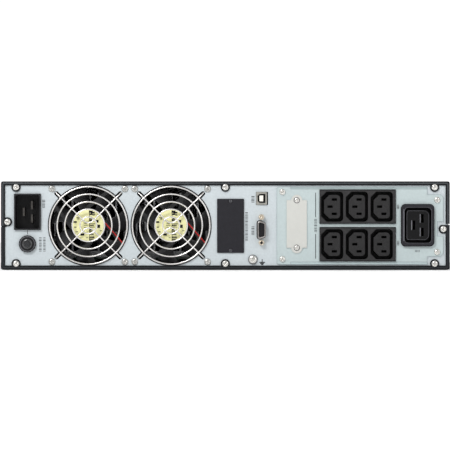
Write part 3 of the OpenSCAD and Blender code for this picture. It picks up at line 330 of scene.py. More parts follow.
def banded(mat, scale, direction, strength=0.6, distance=0.4):
    """Adds parallel ridges, such as the turns of a winding, to a finish's relief."""
    nodes, links = mat.node_tree.nodes, mat.node_tree.links
    relief = next(n for n in nodes if n.bl_idname == "ShaderNodeBump")
    where = next(n for n in nodes if n.bl_idname == "ShaderNodeTexCoord")
    wave = nodes.new("ShaderNodeTexWave")
    wave.bands_direction = direction
    wave.inputs["Scale"].default_value = scale
    wave.inputs["Distortion"].default_value = 0.6
    links.new(where.outputs["Object"], wave.inputs["Vector"])
    ridges = nodes.new("ShaderNodeBump")
    ridges.inputs["Strength"].default_value = strength
    ridges.inputs["Distance"].default_value = distance * MM
    links.new(wave.outputs["Fac"], ridges.inputs["Height"])
    links.new(relief.outputs["Normal"], ridges.inputs["Normal"])
    links.new(ridges.outputs["Normal"], nodes["Principled BSDF"].inputs["Normal"])
    return mat


M = {}


def finish(name, colour, rough, **look):
    """Makes a finish and keeps it under its name."""
    M[name] = surface(name, colour, rough, **look)


# Sheet metal
finish(
    "black_paint", (0.006, 0.007, 0.009), 0.45, mottle=(40, 0.15), grain=(1600, 0.06), bump=0.05,
    edge=0.4, specular=0.2,
)
# One rim paint in two copies, lighter for the upper rim and darker for the lower rim: painted light and
# shade.
finish("rim_painted_lit", (0.052, 0.058, 0.063), 0.35, mottle=(60, 0.2), grain=(1600, 0.06), edge=0, specular=0.3)
finish("rim_painted_shade", (0.022, 0.025, 0.028), 0.4, mottle=(60, 0.2), grain=(1600, 0.06), edge=0, specular=0.2)
finish(
    "panel_grey", (0.55, 0.6, 0.624), 0.55, mottle=(480, 0.045), grain=(2600, 0.05), bump=0.03,
    specular=0.25,
)
finish(
    "output_grey", (0.492, 0.567, 0.572), 0.55, mottle=(480, 0.035), grain=(2600, 0.04), bump=0.03,
    specular=0.25,
)
# One strip paint in two copies, darker for the upper strip and lighter for the lower strip: painted shade
# and light.
finish(
    "output_band", (0.385, 0.462, 0.466), 0.6, mottle=(480, 0.04), grain=(2600, 0.05), bump=0.04,
    specular=0.2,
)
finish(
    "output_band_painted_lit", (0.5, 0.59, 0.6), 0.6, mottle=(480, 0.04), grain=(2600, 0.05), bump=0.04,
    specular=0.2,
)
finish("cream_plate", (0.588, 0.59, 0.558), 0.55, mottle=(300, 0.015), grain=(2600, 0.03), specular=0.25)
finish("charcoal_plate", (0.014, 0.0135, 0.018), 0.5, mottle=(300, 0.12), grain=(2600, 0.05), specular=0.25)

# Screws, wires, shells and pins
finish("screw_steel", (0.78, 0.77, 0.74), 0.24, metal=1.0, mottle=(500, 0.12), grain=(3000, 0.05), edge=0.1)
finish("dull_steel", (0.52, 0.52, 0.5), 0.36, metal=1.0, mottle=(500, 0.1), grain=(2400, 0.04), edge=0.1)
finish("dark_steel", (0.11, 0.11, 0.12), 0.35, metal=0.9, mottle=(500, 0.2), grain=(2400, 0.08), edge=0.1)
finish("chrome_wire", (0.9, 0.88, 0.86), 0.3, metal=1.0, mottle=(200, 0.05), grain=(3000, 0.02), edge=0)
finish("nickel", (0.78, 0.7, 0.58), 0.26, metal=1.0, mottle=(400, 0.15), grain=(2600, 0.05), edge=0.12)
finish("pin_steel", (0.075, 0.07, 0.066), 0.4, metal=0.9, mottle=(500, 0.3), grain=(2600, 0.08), edge=0.2)
finish("shell_steel", (0.45, 0.44, 0.4), 0.34, metal=1.0, mottle=(300, 0.12), grain=(2600, 0.05), edge=0.12)
finish("port_steel", (0.36, 0.34, 0.33), 0.32, metal=1.0, mottle=(300, 0.12), grain=(2600, 0.05), edge=0.12)
finish("plated_steel", (0.5, 0.51, 0.52), 0.4, metal=1.0, mottle=(45, 0.16), grain=(1800, 0.05), edge=0.3)
finish(
    "bare_aluminium", (0.62, 0.63, 0.64), 0.38, metal=1.0, mottle=(60, 0.1), grain=(1500, 0.06),
    stretch=(1, 0.04, 1),
)
finish("brass_contact", (0.4, 0.36, 0.34), 0.4, metal=1.0, mottle=(300, 0.15))
finish("copper_wire", (0.5, 0.2, 0.07), 0.3, metal=0.6, mottle=(300, 0.2), coat=0.4)

# Mouldings, boards and cases
finish("black_plastic", (0.006, 0.006, 0.007), 0.42, mottle=(200, 0.2), grain=(2600, 0.06), specular=0.25)
finish("dark_plastic", (0.013, 0.0135, 0.016), 0.3, mottle=(200, 0.12), grain=(2600, 0.06), specular=0.5)
finish("gloss_black", (0.05, 0.05, 0.053), 0.2, mottle=(200, 0.1), grain=(2600, 0.02), edge=0, specular=0.9)
finish("fan_black", (0.05, 0.05, 0.052), 0.36, mottle=(150, 0.2), grain=(2400, 0.05), specular=0.5)
finish("outlet_plastic", (0.03, 0.029, 0.03), 0.5, mottle=(250, 0.12), grain=(2600, 0.07), specular=0.25)
finish(
    "heavy_plastic", (0.02, 0.0195, 0.024), 0.4, mottle=(250, 0.12), grain=(2600, 0.08), edge=0.6,
    specular=0.22,
)
finish("chip_black", (0.008, 0.008, 0.009), 0.5, mottle=(300, 0.2), grain=(2600, 0.08), specular=0.25)
finish("core_black", (0.05, 0.05, 0.052), 0.6, mottle=(300, 0.2), grain=(1800, 0.1))
finish("capacitor_sleeve", (0.01, 0.015, 0.06), 0.25, mottle=(120, 0.1), coat=0.3)
finish(
    "circuit_board", (0.01, 0.1, 0.04), 0.3, mottle=(260, 0.35), grain=(1500, 0.12),
    second=(0.012, 0.14, 0.055), coat=0.3,
)
finish("yellow_plastic", (0.72, 0.55, 0.07), 0.4, mottle=(200, 0.06))
finish("battery_case", (0.05, 0.055, 0.065), 0.45, mottle=(60, 0.12), grain=(1500, 0.08), edge=0.8)

# Insulation
finish("red_wire", (0.55, 0.02, 0.02), 0.35, mottle=(400, 0.1), edge=0)
finish("black_wire", (0.015, 0.015, 0.016), 0.35, mottle=(400, 0.15), edge=0)
finish("blue_wire", (0.02, 0.06, 0.3), 0.35, mottle=(400, 0.1), edge=0)

# Front panel
finish(
    "bezel_black", (0.014, 0.014, 0.016), 0.48, mottle=(60, 0.12), grain=(1400, 0.08), bump=0.05,
    edge=0.5, specular=0.35,
)
finish("dial_grey", (0.03, 0.032, 0.036), 0.2, mottle=(80, 0.1), grain=(2400, 0.02), coat=0.5)
finish("key_grey", (0.33, 0.34, 0.36), 0.42, mottle=(300, 0.05))

# Painted highlights and painted shadow lines on edges
finish("painted_edge_shadow", (0.34, 0.395, 0.41), 0.6, mottle=(900, 0.1), edge=0, specular=0.2)
finish("painted_highlight_edge", (0.13, 0.13, 0.145), 0.3, mottle=(500, 0.2), edge=0, specular=0.5)
finish("inlet_painted_highlight", (0.06, 0.06, 0.066), 0.3, mottle=(500, 0.2), edge=0, specular=0.5)

# Printing and labels
finish("ink", (0.06, 0.064, 0.07), 0.6, mottle=(900, 0.2), edge=0, specular=0.2)
finish("pale_ink", (0.6, 0.62, 0.64), 0.6, mottle=(900, 0.1), edge=0)
finish("label_yellow", (0.88, 0.86, 0.475), 0.5, mottle=(500, 0.05), edge=0, specular=0.2)
finish("label_white", (0.75, 0.76, 0.74), 0.5, mottle=(200, 0.03), edge=0)
finish("label_ink", (0.012, 0.012, 0.015), 0.5, mottle=(900, 0.3), edge=0, specular=0.2)

# Small bright parts
finish("white_plastic", (0.9, 0.87, 0.8), 0.4, mottle=(300, 0.03))
finish("lens_green", (0.05, 0.5, 0.12), 0.15, mottle=(300, 0.1), coat=0.6)
finish("lens_amber", (0.6, 0.26, 0.02), 0.15, mottle=(300, 0.1), coat=0.6)
finish("lcd_back", (0.2, 0.3, 0.42), 0.5, mottle=(80, 0.06), edge=0)


def node_of(mat, kind):
    """The first node of one kind in a finish."""
    return next(n for n in mat.node_tree.nodes if n.bl_idname == kind)


def falling(mat, value, start, end, low):
    """1 up to the start, in millimetres, and low from the end onward."""
    fade = mat.node_tree.nodes.new("ShaderNodeMapRange")
    fade.inputs["From Min"].default_value = start * MM
    fade.inputs["From Max"].default_value = end * MM
    fade.inputs["To Min"].default_value = 1.0
    fade.inputs["To Max"].default_value = low
    mat.node_tree.links.new(value, fade.inputs["Value"])
    return fade.outputs["Result"]


def scale_colour(mat, factor):
    """Multiplies a finish's colour by another node's output."""
    nodes, links = mat.node_tree.nodes, mat.node_tree.links
    dim = nodes.new("ShaderNodeVectorMath")
    dim.operation = "SCALE"
    links.new(node_of(mat, "ShaderNodeValToRGB").outputs["Color"], dim.inputs[0])
    links.new(factor, dim.inputs["Scale"])
    links.new(dim.outputs["Vector"], nodes["Principled BSDF"].inputs["Base Color"])


def painted_recess_shade(mat, front, reach):
    """Painted shade: darkens a moulding inside its openings, from a depth behind the rear face onward."""
    nodes, links = mat.node_tree.nodes, mat.node_tree.links
    parts = nodes.new("ShaderNodeSeparateXYZ")
    links.new(node_of(mat, "ShaderNodeTexCoord").outputs["Object"], parts.inputs["Vector"])
    scale_colour(mat, falling(mat, parts.outputs["Y"], REAR + front, REAR + front + reach, 0.12))


def painted_shade_flange(name, x):
    """The fans' plastic with painted shade: darker and duller where the panel covers it."""
    mat = surface(name, (0.02, 0.02, 0.021), 0.36, mottle=(150, 0.2), grain=(2400, 0.05))
    nodes, links = mat.node_tree.nodes, mat.node_tree.links
    flat = nodes.new("ShaderNodeVectorMath")
    flat.operation = "MULTIPLY"
    flat.inputs[1].default_value = (1, 0, 1)
    links.new(node_of(mat, "ShaderNodeTexCoord").outputs["Object"], flat.inputs[0])
    reach = nodes.new("ShaderNodeVectorMath")
    reach.operation = "DISTANCE"
    reach.inputs[1].default_value = (x * MM, 0, FAN_Z * MM)
    links.new(flat.outputs["Vector"], reach.inputs[0])
    # Painted shade: full colour inside the opening, nearly black behind the panel.
    unshaded = falling(mat, reach.outputs["Value"], OPENING_R - 0.8, OPENING_R, 0.05)
    scale_colour(mat, unshaded)
    # The painted shade also dims the reflection behind the panel.
    gleam = nodes.new("ShaderNodeMath")
    gleam.operation = "MULTIPLY"
    gleam.inputs[1].default_value = 0.35
    links.new(unshaded, gleam.inputs[0])
    links.new(gleam.outputs["Value"], nodes["Principled BSDF"].inputs["Specular IOR Level"])
    return mat


for side, x in FANS.items():
    M[f"flange_{side}"] = painted_shade_flange(f"fan_plastic_{side}", x)

banded(M["copper_wire"], 160, "DIAGONAL")
# Painted shade inside the openings of both socket mouldings.
painted_recess_shade(M["outlet_plastic"], -1.15, 0.15)
painted_recess_shade(M["heavy_plastic"], -3.2, 1.0)


def window_glass():
    """Tinted display cover with a faint unevenness."""
    tint = (0.35, 0.45, 0.6)
    mat = surface("display_window", tint, 0.06, mottle=(60, 0.03), grain=(400, 0.01), spread=0.03, edge=0)
    bsdf = mat.node_tree.nodes["Principled BSDF"]
    bsdf.inputs["Alpha"].default_value = 0.45
    bsdf.inputs["IOR"].default_value = 1.49
    return mat


M["display_window"] = window_glass()

# Sub-parts whose finish differs from others of the same slot.
SPECIAL = {
    "outlet_c19": "heavy_plastic",
    "inlet_pins": "pin_steel",
    "fan_frame_left": "flange_left",
    "fan_frame_right": "flange_right",
}
slots = {s["node"]: s["material_slot"] for s in frame["record"]["subparts"]}
for name, obj in frame["nodes"].items():
    obj.data.materials.clear()
    obj.data.materials.append(M[SPECIAL.get(name, slots[name])])


# ------------------------------------------------------------------ rear fans

GUARD_WIRE = 0.76
GUARD_RINGS = (8.2, 15.8, 23.1, 30.6, 38.0)
LEAD_R = 0.62
# Marks on the hub label: across and up from the middle, length, width.
HUB_BARS = [
    (1.0, 13.4, 2.6, 2.0), (2.6, 12.4, 3.0, 1.6), (1.2, 10.8, 2.2, 1.5), (4.2, 10.2, 1.6, 1.2),
    (1.4, 6.4, 2.8, 1.2), (1.2, 4.9, 2.0, 1.5), (1.6, 1.6, 4.6, 0.6), (1.4, 0.1, 3.6, 1.1),
    (1.8, -1.7, 4.2, 0.7), (1.4, -4.4, 2.2, 1.5), (1.2, -6.4, 2.8, 1.0), (1.0, -8.8, 1.8, 1.1),
    (3.4, -8.8, 1.6, 1.1), (1.0, -10.6, 4.4, 0.7), (1.0, -12.2, 1.6, 1.3), (3.2, -12.2, 2.2, 1.3),
    (1.0, -14.2, 3.6, 1.2), (-11.6, 7.4, 2.0, 0.9), (-10.6, 6.2, 1.4, 0.8), (-14.2, 3.2, 2.0, 1.8),
    (-13.8, -1.8, 1.6, 0.9), (-12.4, -6.4, 1.8, 0.8), (-7.4, -9.0, 2.6, 2.2), (-2.4, -12.2, 1.6, 0.5),
    (8.2, 4.0, 0.8, 2.6), (9.6, -1.0, 0.8, 3.2), (11.2, -5.4, 1.6, 0.7), (-4.4, 2.0, 3.2, 0.5),
    (-4.4, 0.0, 3.2, 0.5), (-4.4, -2.0, 3.2, 0.5), (-8.6, 1.2, 1.2, 0.6), (-8.6, -1.4, 1.2, 0.6),
]


def guard(x):
    """Five rings on two bent wires; the wires' ends dip behind the panel to screw eyes."""
    bend, arm_d, ring_d, eye_d = 6.2, 0.6, -0.85, 3.3
    shape = Shape()
    for r in GUARD_RINGS:
        ring = circle(x, FAN_Z, r, 96)
        shape.tube([(px, ring_d, pz) for px, pz in ring], GUARD_WIRE, 14, loop=True)
    diagonal = math.sqrt(0.5)
    dip = [(-47.4, eye_d), (-45.8, eye_d), (-43.6, 2.3), (-41.3, 1.0)]
    arm = [(-39.6, arm_d), (-30, arm_d), (-8, arm_d)]
    for s in (1, -1):
        wing = [(r * diagonal, d, -r * diagonal) for r, d in dip + arm]
        bow = [(u, arm_d, v) for u, v in circle(0, bend / diagonal, bend, 15, 225, 90)]
        route = wing + bow + [(-u, d, v) for u, d, v in reversed(wing)]
        shape.tube([(x + u, d, FAN_Z + s * v) for u, d, v in route], GUARD_WIRE, 14)
        for side in (1, -1):
            eye = circle(x + side * FAN_HOLE, FAN_Z + s * FAN_HOLE, 3.2, 28)
            shape.tube([(px, eye_d, pz) for px, pz in eye], GUARD_WIRE, 12, loop=True)
    return shape


def rotor(x):
    """A cup with seven cambered blades."""
    shape = Shape()
    outside = [(14.9, 9.8), (16.6, 9.8), (17.0, 10.4), (17.0, 27.6), (16.0, 28.5), (3.0, 28.5)]
    inside = [(2.6, 28.0), (1.5, 28.0), (1.5, 26.6), (14.9, 26.6)]
    shape.lathe(x, FAN_Z, outside + inside, 56, loop=True)
    shape.lathe(x, FAN_Z, [(1.3, 9.05), (1.5, 9.4), (1.5, 28.1), (1.2, 28.3)], 20)
    blades, stations, around = 7, 9, 12
    for blade in range(blades):
        rings = []
        for i in range(stations):
            q = i / (stations - 1)
            r = 16.2 + q * 20.2
            pitch = math.radians(50 - 18 * q)
            chord = 15.5 + 8 * q
            lead = math.radians(blade * 360 / blades + 8 * q * q)
            thick = 1.1 - 0.5 * q
            ring = []
            for k in range(around):
                a = 2 * math.pi * k / around
                s = 0.5 * math.cos(a)
                t = thick * math.sin(a) * 0.5 * (1 - 0.5 * s) + 1.6 * (0.25 - s * s)
                along = chord * s
                tangent = along * math.cos(pitch) - t * math.sin(pitch)
                axial = along * math.sin(pitch) + t * math.cos(pitch)
                turn = lead + tangent / r
                ring.append((x + r * math.cos(turn), 19.2 - axial, FAN_Z + r * math.sin(turn)))
            rings.append(ring)
        shape.skin(rings)
    return shape


def hub_marks(x):
    """A line down the hub label and rows of plain bars."""
    top = FAN_D - 0.16
    shape = Shape()
    shape.stroke([(x + 0.9, FAN_Z - 15.4), (x + 0.9, FAN_Z + 15.4)], 0.5, top, 0.04)
    for u, v, length, width in HUB_BARS:
        shape.stroke([(x + u, FAN_Z + v), (x + u + length, FAN_Z + v)], width, top, 0.04)
    return shape


def fan_wires(x, k):
    """One lead of a fan, along the strut and back through the notch."""
    side = x - k * 1.05
    low = FAN_Z - k * 0.95
    nx, nz = x + 35.8, FAN_Z - 20.2 - k * 1.5
    plug_x = x + 38.9 + k * 2
    points = [
        (side + 16.2, 3.6, low + 2.4), (side + 24.4, 3.6, low - 6.9), (side + 32.6, 3.6, low - 16.3),
        (nx - 0.7 + k * 0.2, 3.6, nz + 0.9), (nx - 0.2, 8, nz + 0.8), (nx, 34, nz + 0.8),
        (nx + 2, 52, nz - 2), (plug_x, 64.6, 22), (plug_x, 64.6, 18),
    ]
    return smooth_path(points, 3)


def fan(side, x):
    """One fan's guard, rotor and hub label."""
    node = f"fan_guard_{side}"
    finish_mesh(f"guard_{side}", guard(x), M["chrome_wire"], "chassis", [node], 60)
    node = f"fan_rotor_{side}"
    finish_mesh(f"rotor_{side}", rotor(x), M["fan_black"], f"{side}_rotor", [node], 50)
    label = Shape()
    label.prism(circle(x, FAN_Z, 15.7, 64), FAN_D - 0.16, FAN_D - 0.01, 0.05)
    finish_mesh(f"hub_label_{side}", label, M["label_yellow"], "chassis")
    finish_mesh(f"hub_marks_{side}", hub_marks(x), M["label_ink"], "chassis")


def fan_opening_shadows():
    """Painted shadow rings round the edges of the panel's round openings."""
    opening = Shape()
    inner, outer = OPENING_R + 0.02, OPENING_R + 0.46
    for x in FANS.values():
        opening.lathe(x, FAN_Z, [(inner, 1.16), (inner, 1.3), (outer, 1.3), (outer, 1.16)], 128, loop=True)
    finish_mesh("fan_opening_shadow_rings", opening, M["dark_steel"], "chassis")


def fan_wiring():
    """A red and a black lead from each fan to a plug on the main board."""
    leads = Shape()
    returns = Shape()
    plugs = Shape()
    for x in FANS.values():
        leads.tube(fan_wires(x, 0), LEAD_R, 10)
        returns.tube(fan_wires(x, 1), LEAD_R, 10)
        plugs.block(x + 36.4, 62.6, 11.7, (7, 4.3, 6.3), 0.4)
    finish_mesh("fan_leads_red", leads, M["red_wire"], "chassis", ["fan_leads"], 60)
    finish_mesh("fan_leads_black", returns, M["black_wire"], "chassis", smooth=60)
    finish_mesh("fan_plugs", plugs, M["white_plastic"], "chassis")


for side, x in FANS.items():
    fan(side, x)
fan_opening_shadows()
fan_wiring()


# ------------------------------------------------------------------ screws

BODY_H = 86.5
RIM_SCREWS = [(-205.2, 5.8), (0, 5.8), (205.2, 5.8), (213.6, 39.75)]
OUTPUT_SCREWS = [(56, 76.1), (56, 10.2), (207.6, 68.3), (207.6, 17.2)]
BLANK_SCREWS = [(70, 68.0), (70, 21.4)]
SLOT_SCREWS = [(5.1, 67.1), (5.1, 18.7)]
GROUND = (27, 9.9)


def rim_screws():
    """Four screws through the lower shell's rim and, turned over, four through the upper's."""
    rim = Shape()
    for i, (x, z) in enumerate(RIM_SCREWS):
        rim.screw(x, z, 0, 3.3, 2.05, 14 + 31 * i)
        rim.screw(-x, BODY_H - z, 0, 3.3, 2.05, 50 - 23 * i)
    finish_mesh("rim_screw_heads", rim, M["screw_steel"], "chassis", ["cover_screws"], 50)


def output_panel_screws():
    """The four screws of the output panel."""
    plate = Shape()
    for i, (x, z) in enumerate(OUTPUT_SCREWS):
        plate.screw(x, z, 0.2, 3.2, 2.05, 20 + 40 * i)
    finish_mesh("panel_screw_heads", plate, M["screw_steel"], "chassis", ["panel_screws"], 50)


def blank_plate_screws():
    """Two screws, each in a dark ring that is painted shade round its head."""
    blank = Shape()
    rings = Shape()
    for i, (x, z) in enumerate(BLANK_SCREWS):
        blank.screw(x, z, -0.8, 2.6, 1.5, 35 + 30 * i)
        # A dark ring round each head: painted shade.
        rings.lathe(x, z, [(2.55, -0.82), (2.65, -1.1), (2.9, -1.1), (3.0, -0.82)], 48, loop=True)
    finish_mesh("blank_screw_heads", blank, M["screw_steel"], "chassis", smooth=50)
    finish_mesh("blank_screw_shade_rings", rings, M["dark_steel"], "chassis", smooth=50)


def slot_cover_screws():
    """Two small dark screws."""
    small = Shape()
    for i, (x, z) in enumerate(SLOT_SCREWS):
        small.screw(x, z, 0.7, 1.7, 0.65, 10 + 50 * i, sink=0.7, sides=40, rings=12)
    finish_mesh("slot_screw_heads", small, M["dark_steel"], "chassis", smooth=50)


def fan_screws():
    """Four screws at the corners of each fan."""
    fan_heads = Shape()
    for x in FANS.values():
        for i, (sx, sz) in enumerate(((-1, -1), (1, -1), (1, 1), (-1, 1))):
            hole = (x + sx * FAN_HOLE, FAN_Z + sz * FAN_HOLE)
            fan_heads.screw(*hole, 1.2, 3.4, 1.7, 8 + 27 * i, sink=0.35)
    finish_mesh("fan_screw_heads", fan_heads, M["dull_steel"], "chassis", ["fan_screws"], 50)


def ground_terminal():
    """A screw on a toothed washer."""
    head = Shape()
    head.screw(*GROUND, 0.3, 4.3, 2.5, 25)
    steel = M["screw_steel"]
    finish_mesh("ground_screw_head", head, steel, "chassis", ["ground_terminal"], 50)
    teeth = Shape()
    star = [circle(*GROUND, 4.9 - 0.35 * (k % 2), 48)[k] for k in range(48)]
    teeth.prism(star, 0.35, 1.18, 0.12)
    finish_mesh("ground_washer", teeth, M["dark_steel"], "chassis", smooth=50)


rim_screws()
output_panel_screws()
blank_plate_screws()
slot_cover_screws()
fan_screws()
ground_terminal()


# ------------------------------------------------------------------ rim

RIM_X, RIM_LOW, RIM_HIGH, RIM_R = 218.2, 1.8, 84.7, 1.4


def raised_line(path):
    """A low raised line along a path on the rim."""
    section = [(-0.6, 0.0), (-0.42, -0.12), (0.0, -0.2), (0.42, -0.12), (0.6, 0.0), (0.0, 0.02)]
    rings = []
    for i, (x, z) in enumerate(path):
        ax, az = path[max(i - 1, 0)]
        bx, bz = path[min(i + 1, len(path) - 1)]
        length = math.hypot(bx - ax, bz - az)
        nx, nz = -(bz - az) / length, (bx - ax) / length
        rings.append([(x + nx * u, d, z + nz * u) for u, d in section])
    shape = Shape()
    shape.skin(rings)
    return shape


def rim_lines():
    """Raised lines along both halves of the rim; they meet at the seams. The lower one has a painted shade
    finish and the upper one a painted lit finish.
    """
    left, right = -RIM_X + RIM_R, RIM_X - RIM_R
    route = [(-RIM_X, 41.6)] + circle(left, RIM_LOW + RIM_R, RIM_R, 6, 180, 90)
    route += circle(right, RIM_LOW + RIM_R, RIM_R, 6, 270, 90) + [(RIM_X, 43.7)]
    finish_mesh("rim_bead_lower", raised_line(route), M["rim_painted_shade"], "chassis", smooth=70)
    route = [(RIM_X, 44.9)] + circle(right, RIM_HIGH - RIM_R, RIM_R, 6, 0, 90)
    route += circle(left, RIM_HIGH - RIM_R, RIM_R, 6, 90, 90) + [(-RIM_X, 42.8)]
    finish_mesh("rim_bead_upper", raised_line(route), M["rim_painted_lit"], "chassis", smooth=70)


def left_seam():
    """A strip that closes the left seam."""
    seam = Shape()
    seam.block(-219.7, 0.5, 41.72, (5.2, 7, 1.0), 0.1)
    finish_mesh("seam_filler", seam, M["black_paint"], "chassis")


rim_lines()
left_seam()


# ------------------------------------------------------------------ data ports

USB = (35.5, 69.8)
PLUG = (USB[0] - 0.1, USB[1])
SERIAL_X, SERIAL_Z = 35.4, 38.9
INSERT = (-1.45, 0.93)
INSERT_D = -4.4
PITCH = 2.77
JACK_Z = 12.5


def usb_port():
    """A square-socket port with a white tongue and four contacts."""
    usb = Shape()
    opening = keyed(*PLUG, 7.6, 8.7, 1.9, 0.5)
    usb.frame(rounded(*USB, 10.4, 12.4, 0.7), opening, -0.4, 15.5, lip=0.2, floor=9)
    finish_mesh("usb_shell", usb, M["shell_steel"], "chassis", ["usb_port"])
    # The black liner and floor inside the socket: painted shade deep in the opening.
    cavity_shade = Shape()
    cavity_shade.frame(keyed(*PLUG, 7.56, 8.66, 1.9, 0.5), keyed(*PLUG, 6.8, 7.9, 1.7, 0.5), 0.1, 9, lip=0.05)
    cavity_shade.prism(keyed(*PLUG, 7.2, 8.3, 1.8, 0.5), 3.2, 8.9)
    finish_mesh("usb_cavity_shade", cavity_shade, M["chip_black"], "chassis")
    tongue = Shape()
    tongue.prism(rounded(USB[0] - 0.2, USB[1], 3.8, 5.8, 0.3), 0.3, 9.2, 0.25)
    finish_mesh("usb_tongue", tongue, M["white_plastic"], "chassis")
    contacts = Shape()
    for side in (-1, 1):
        for k in (-1, 1):
            contacts.block(USB[0] - 0.26 + side * 1.9, 1.2, USB[1] + k * 1.3 - 0.4, (0.12, 7.5, 0.8))
    finish_mesh("usb_contacts", contacts, M["brass_contact"], "chassis")
    # A black frame behind the panel's hole: painted shade in the gap round the port.
    gap_shade_frame = Shape()
    gap_shade_frame.frame(rounded(USB[0] + 0.4, USB[1], 13.4, 14.0, 0.6), rounded(*USB, 10.5, 12.5, 0.7), 2.2, 2.8)
    finish_mesh("usb_gap_shade", gap_shade_frame, M["chip_black"], "chassis")


def upright_d(grow, squash=1.0):
    """Outline of the D shell, its wide side to the left."""
    cx, w, h = SERIAL_X + 0.15, 4.1 + grow, 9 + grow
    lean, r = 1.3 + 0.35 * grow, max(0.6, 2.4 + grow)
    points = circle(cx + w - r, -h + lean + r, r, 6, 280, 80)
    points += circle(cx + w - r, h - lean - r, r, 6, 0, 80)
    points += circle(cx - w + r, h - r, r, 6, 80, 100)
    points += circle(cx - w + r, -h + r, r, 6, 180, 100)
    return [(x, SERIAL_Z + z * squash) for x, z in points]


def serial_wall():
    """The D shell: straight sides and a rounded rim; each step is growth, squash and depth."""
    outside = [(0.0, 1.0, 3.0), (0.0, 1.0, -4.2), (-0.08, 0.998, -4.7), (-0.35, 0.99, -5.15)]
    rim = [(-0.75, 0.975, -5.38), (-1.05, 0.96, -5.38), (-1.3, 0.945, -5.2)]
    inside = [(-1.45, 0.935, -4.9), (-1.5, 0.93, -4.5), (-1.5, 0.93, 3.0)]
    rings = []
    for grow, squash, d in outside + rim + inside:
        rings.append([(x, d, z) for x, z in resample(upright_d(grow, squash), 96)])
    shape = Shape()
    shape.skin(rings, loop=True)
    return shape


def serial_port():
    """A nine-way port: shell, flange, insert and contact holes."""
    finish_mesh("serial_shell", serial_wall(), M["port_steel"], "chassis", ["serial_port"])
    flange = Shape()
    flange.prism(rounded(SERIAL_X, SERIAL_Z, 12.2, 30.4, 1.5), 2.5, 3.6, 0.2)
    finish_mesh("serial_flange", flange, M["chip_black"], "chassis")
    insert = Shape()
    insert.prism(upright_d(*INSERT), INSERT_D, 2.4, 0.2)
    finish_mesh("serial_insert", insert, M["black_plastic"], "chassis")
    sockets = Shape()
    for dx, places in ((-1.2, (-2, -1, 0, 1, 2)), (1.6, (-1.5, -0.5, 0.5, 1.5))):
        for k in places:
            x, z = SERIAL_X + dx, SERIAL_Z + k * PITCH
            foot, top = INSERT_D - 0.02, INSERT_D - 0.1
            sockets.lathe(x, z, [(0.85, foot), (0.85, top), (0.6, top), (0.5, foot)], 16, loop=True)
            sockets.lathe(x, z, [(0.5, INSERT_D - 0.04), (0.4, INSERT_D - 0.03)], 16)
    finish_mesh("serial_contacts", sockets, M["label_ink"], "chassis")


def jackscrews():
    """Two hexagon nuts; a stud shows in the upper one and, in the lower, a black plug stands for the painted
    shade of an open bore.
    """
    jacks = Shape()
    for s in (-1, 1):
        z = SERIAL_Z + s * JACK_Z
        hexagon, bore = circle(SERIAL_X, z, 3.1, 6, 0, 360), circle(SERIAL_X, z, 1.25, 24)
        jacks.frame(hexagon, bore, -3.8, 1.2, n=60, lip=0.35, floor=0.5)
    finish_mesh("jackscrew_nuts", jacks, M["nickel"], "chassis", ["serial_jackscrews"])
    # A black plug in the lower bore: painted shade.
    bores = Shape()
    bores.prism(circle(SERIAL_X, SERIAL_Z - JACK_Z, 1.2, 24), -3.1, 0.4)
    finish_mesh("jackscrew_bore_shade", bores, M["label_ink"], "chassis")
    stud = Shape()
    stud.prism(circle(SERIAL_X, SERIAL_Z + JACK_Z, 1.2, 24), -3.3, 0.4, 0.4)
    finish_mesh("jackscrew_stud", stud, M["nickel"], "chassis")


usb_port()
serial_port()
jackscrews()


# ------------------------------------------------------------------ inlet and breaker

INLET = (-194.0, 56.6)
BREAKER = (-194.0, 25.2)


def half_round(radius, depth, width, height):
    """Section of a raised ring, as radius and depth."""
    angles = (0, 0.6, 1.2, 1.9, 2.5, math.pi)
    return [(radius + width * math.cos(a), depth - height * math.sin(a)) for a in angles]


def mains_inlet():
    """The thin lip of the inlet's housing, lighter than the housing as a painted highlight."""
    lip = Shape()
    outer, inner = rounded(*INLET, 24.9, 34.3, 0.6), rounded(*INLET, 24.2, 33.6, 0.7)
    lip.frame(outer, inner, -1.26, -0.9, n=160, lip=0.12)
    finish_mesh("inlet_highlight_lip", lip, M["inlet_painted_highlight"], "chassis")


def breaker():
    """The nut's bead, lighter as a painted highlight; black rings as painted shade in the nut's grooves; the
    neck's collar and the button's ring.
    """
    ridge = Shape()
    # The bead's lighter finish is a painted highlight.
    ridge.lathe(*BREAKER, half_round(7.1, -2.55, 0.3, 0.35), 72, loop=True)
    finish_mesh("breaker_highlight_bead", ridge, M["painted_highlight_edge"], "chassis", smooth=60)
    collar = Shape()
    bore = [(3.45, -5.3), (3.45, -5.7), (3.6, -5.84)]
    slope = [(3.8, -5.84), (4.5, -5.55), (4.76, -5.36), (4.76, -5.3)]
    collar.lathe(*BREAKER, bore + slope, 72, loop=True)
    finish_mesh("breaker_collar", collar, M["gloss_black"], "chassis")
    # Black rings: painted shade in the grooves.
    groove = Shape()
    for inner, outer, depth in ((5.35, 6.45, -2.62), (7.7, 8.2, -1.9)):
        back = depth + 0.5
        groove.lathe(*BREAKER, [(inner, depth), (inner, back), (outer, back), (outer, depth)], 72, loop=True)
    finish_mesh("breaker_groove_shade", groove, M["chip_black"], "chassis")
    dish = Shape()
    dish.lathe(*BREAKER, half_round(1.9, -7.78, 0.4, 0.2), 48, loop=True)
    finish_mesh("breaker_button_ring", dish, M["gloss_black"], "reset_button", smooth=60)


mains_inlet()
breaker()


# ------------------------------------------------------------------ output sockets

C19 = (188.4, 43.5)
C19_FRAME = (C19[0] + 0.2, C19[1])
BLOCK_X = 129.7
LOW_BLOCK, HIGH_BLOCK = 24.9, 61.7
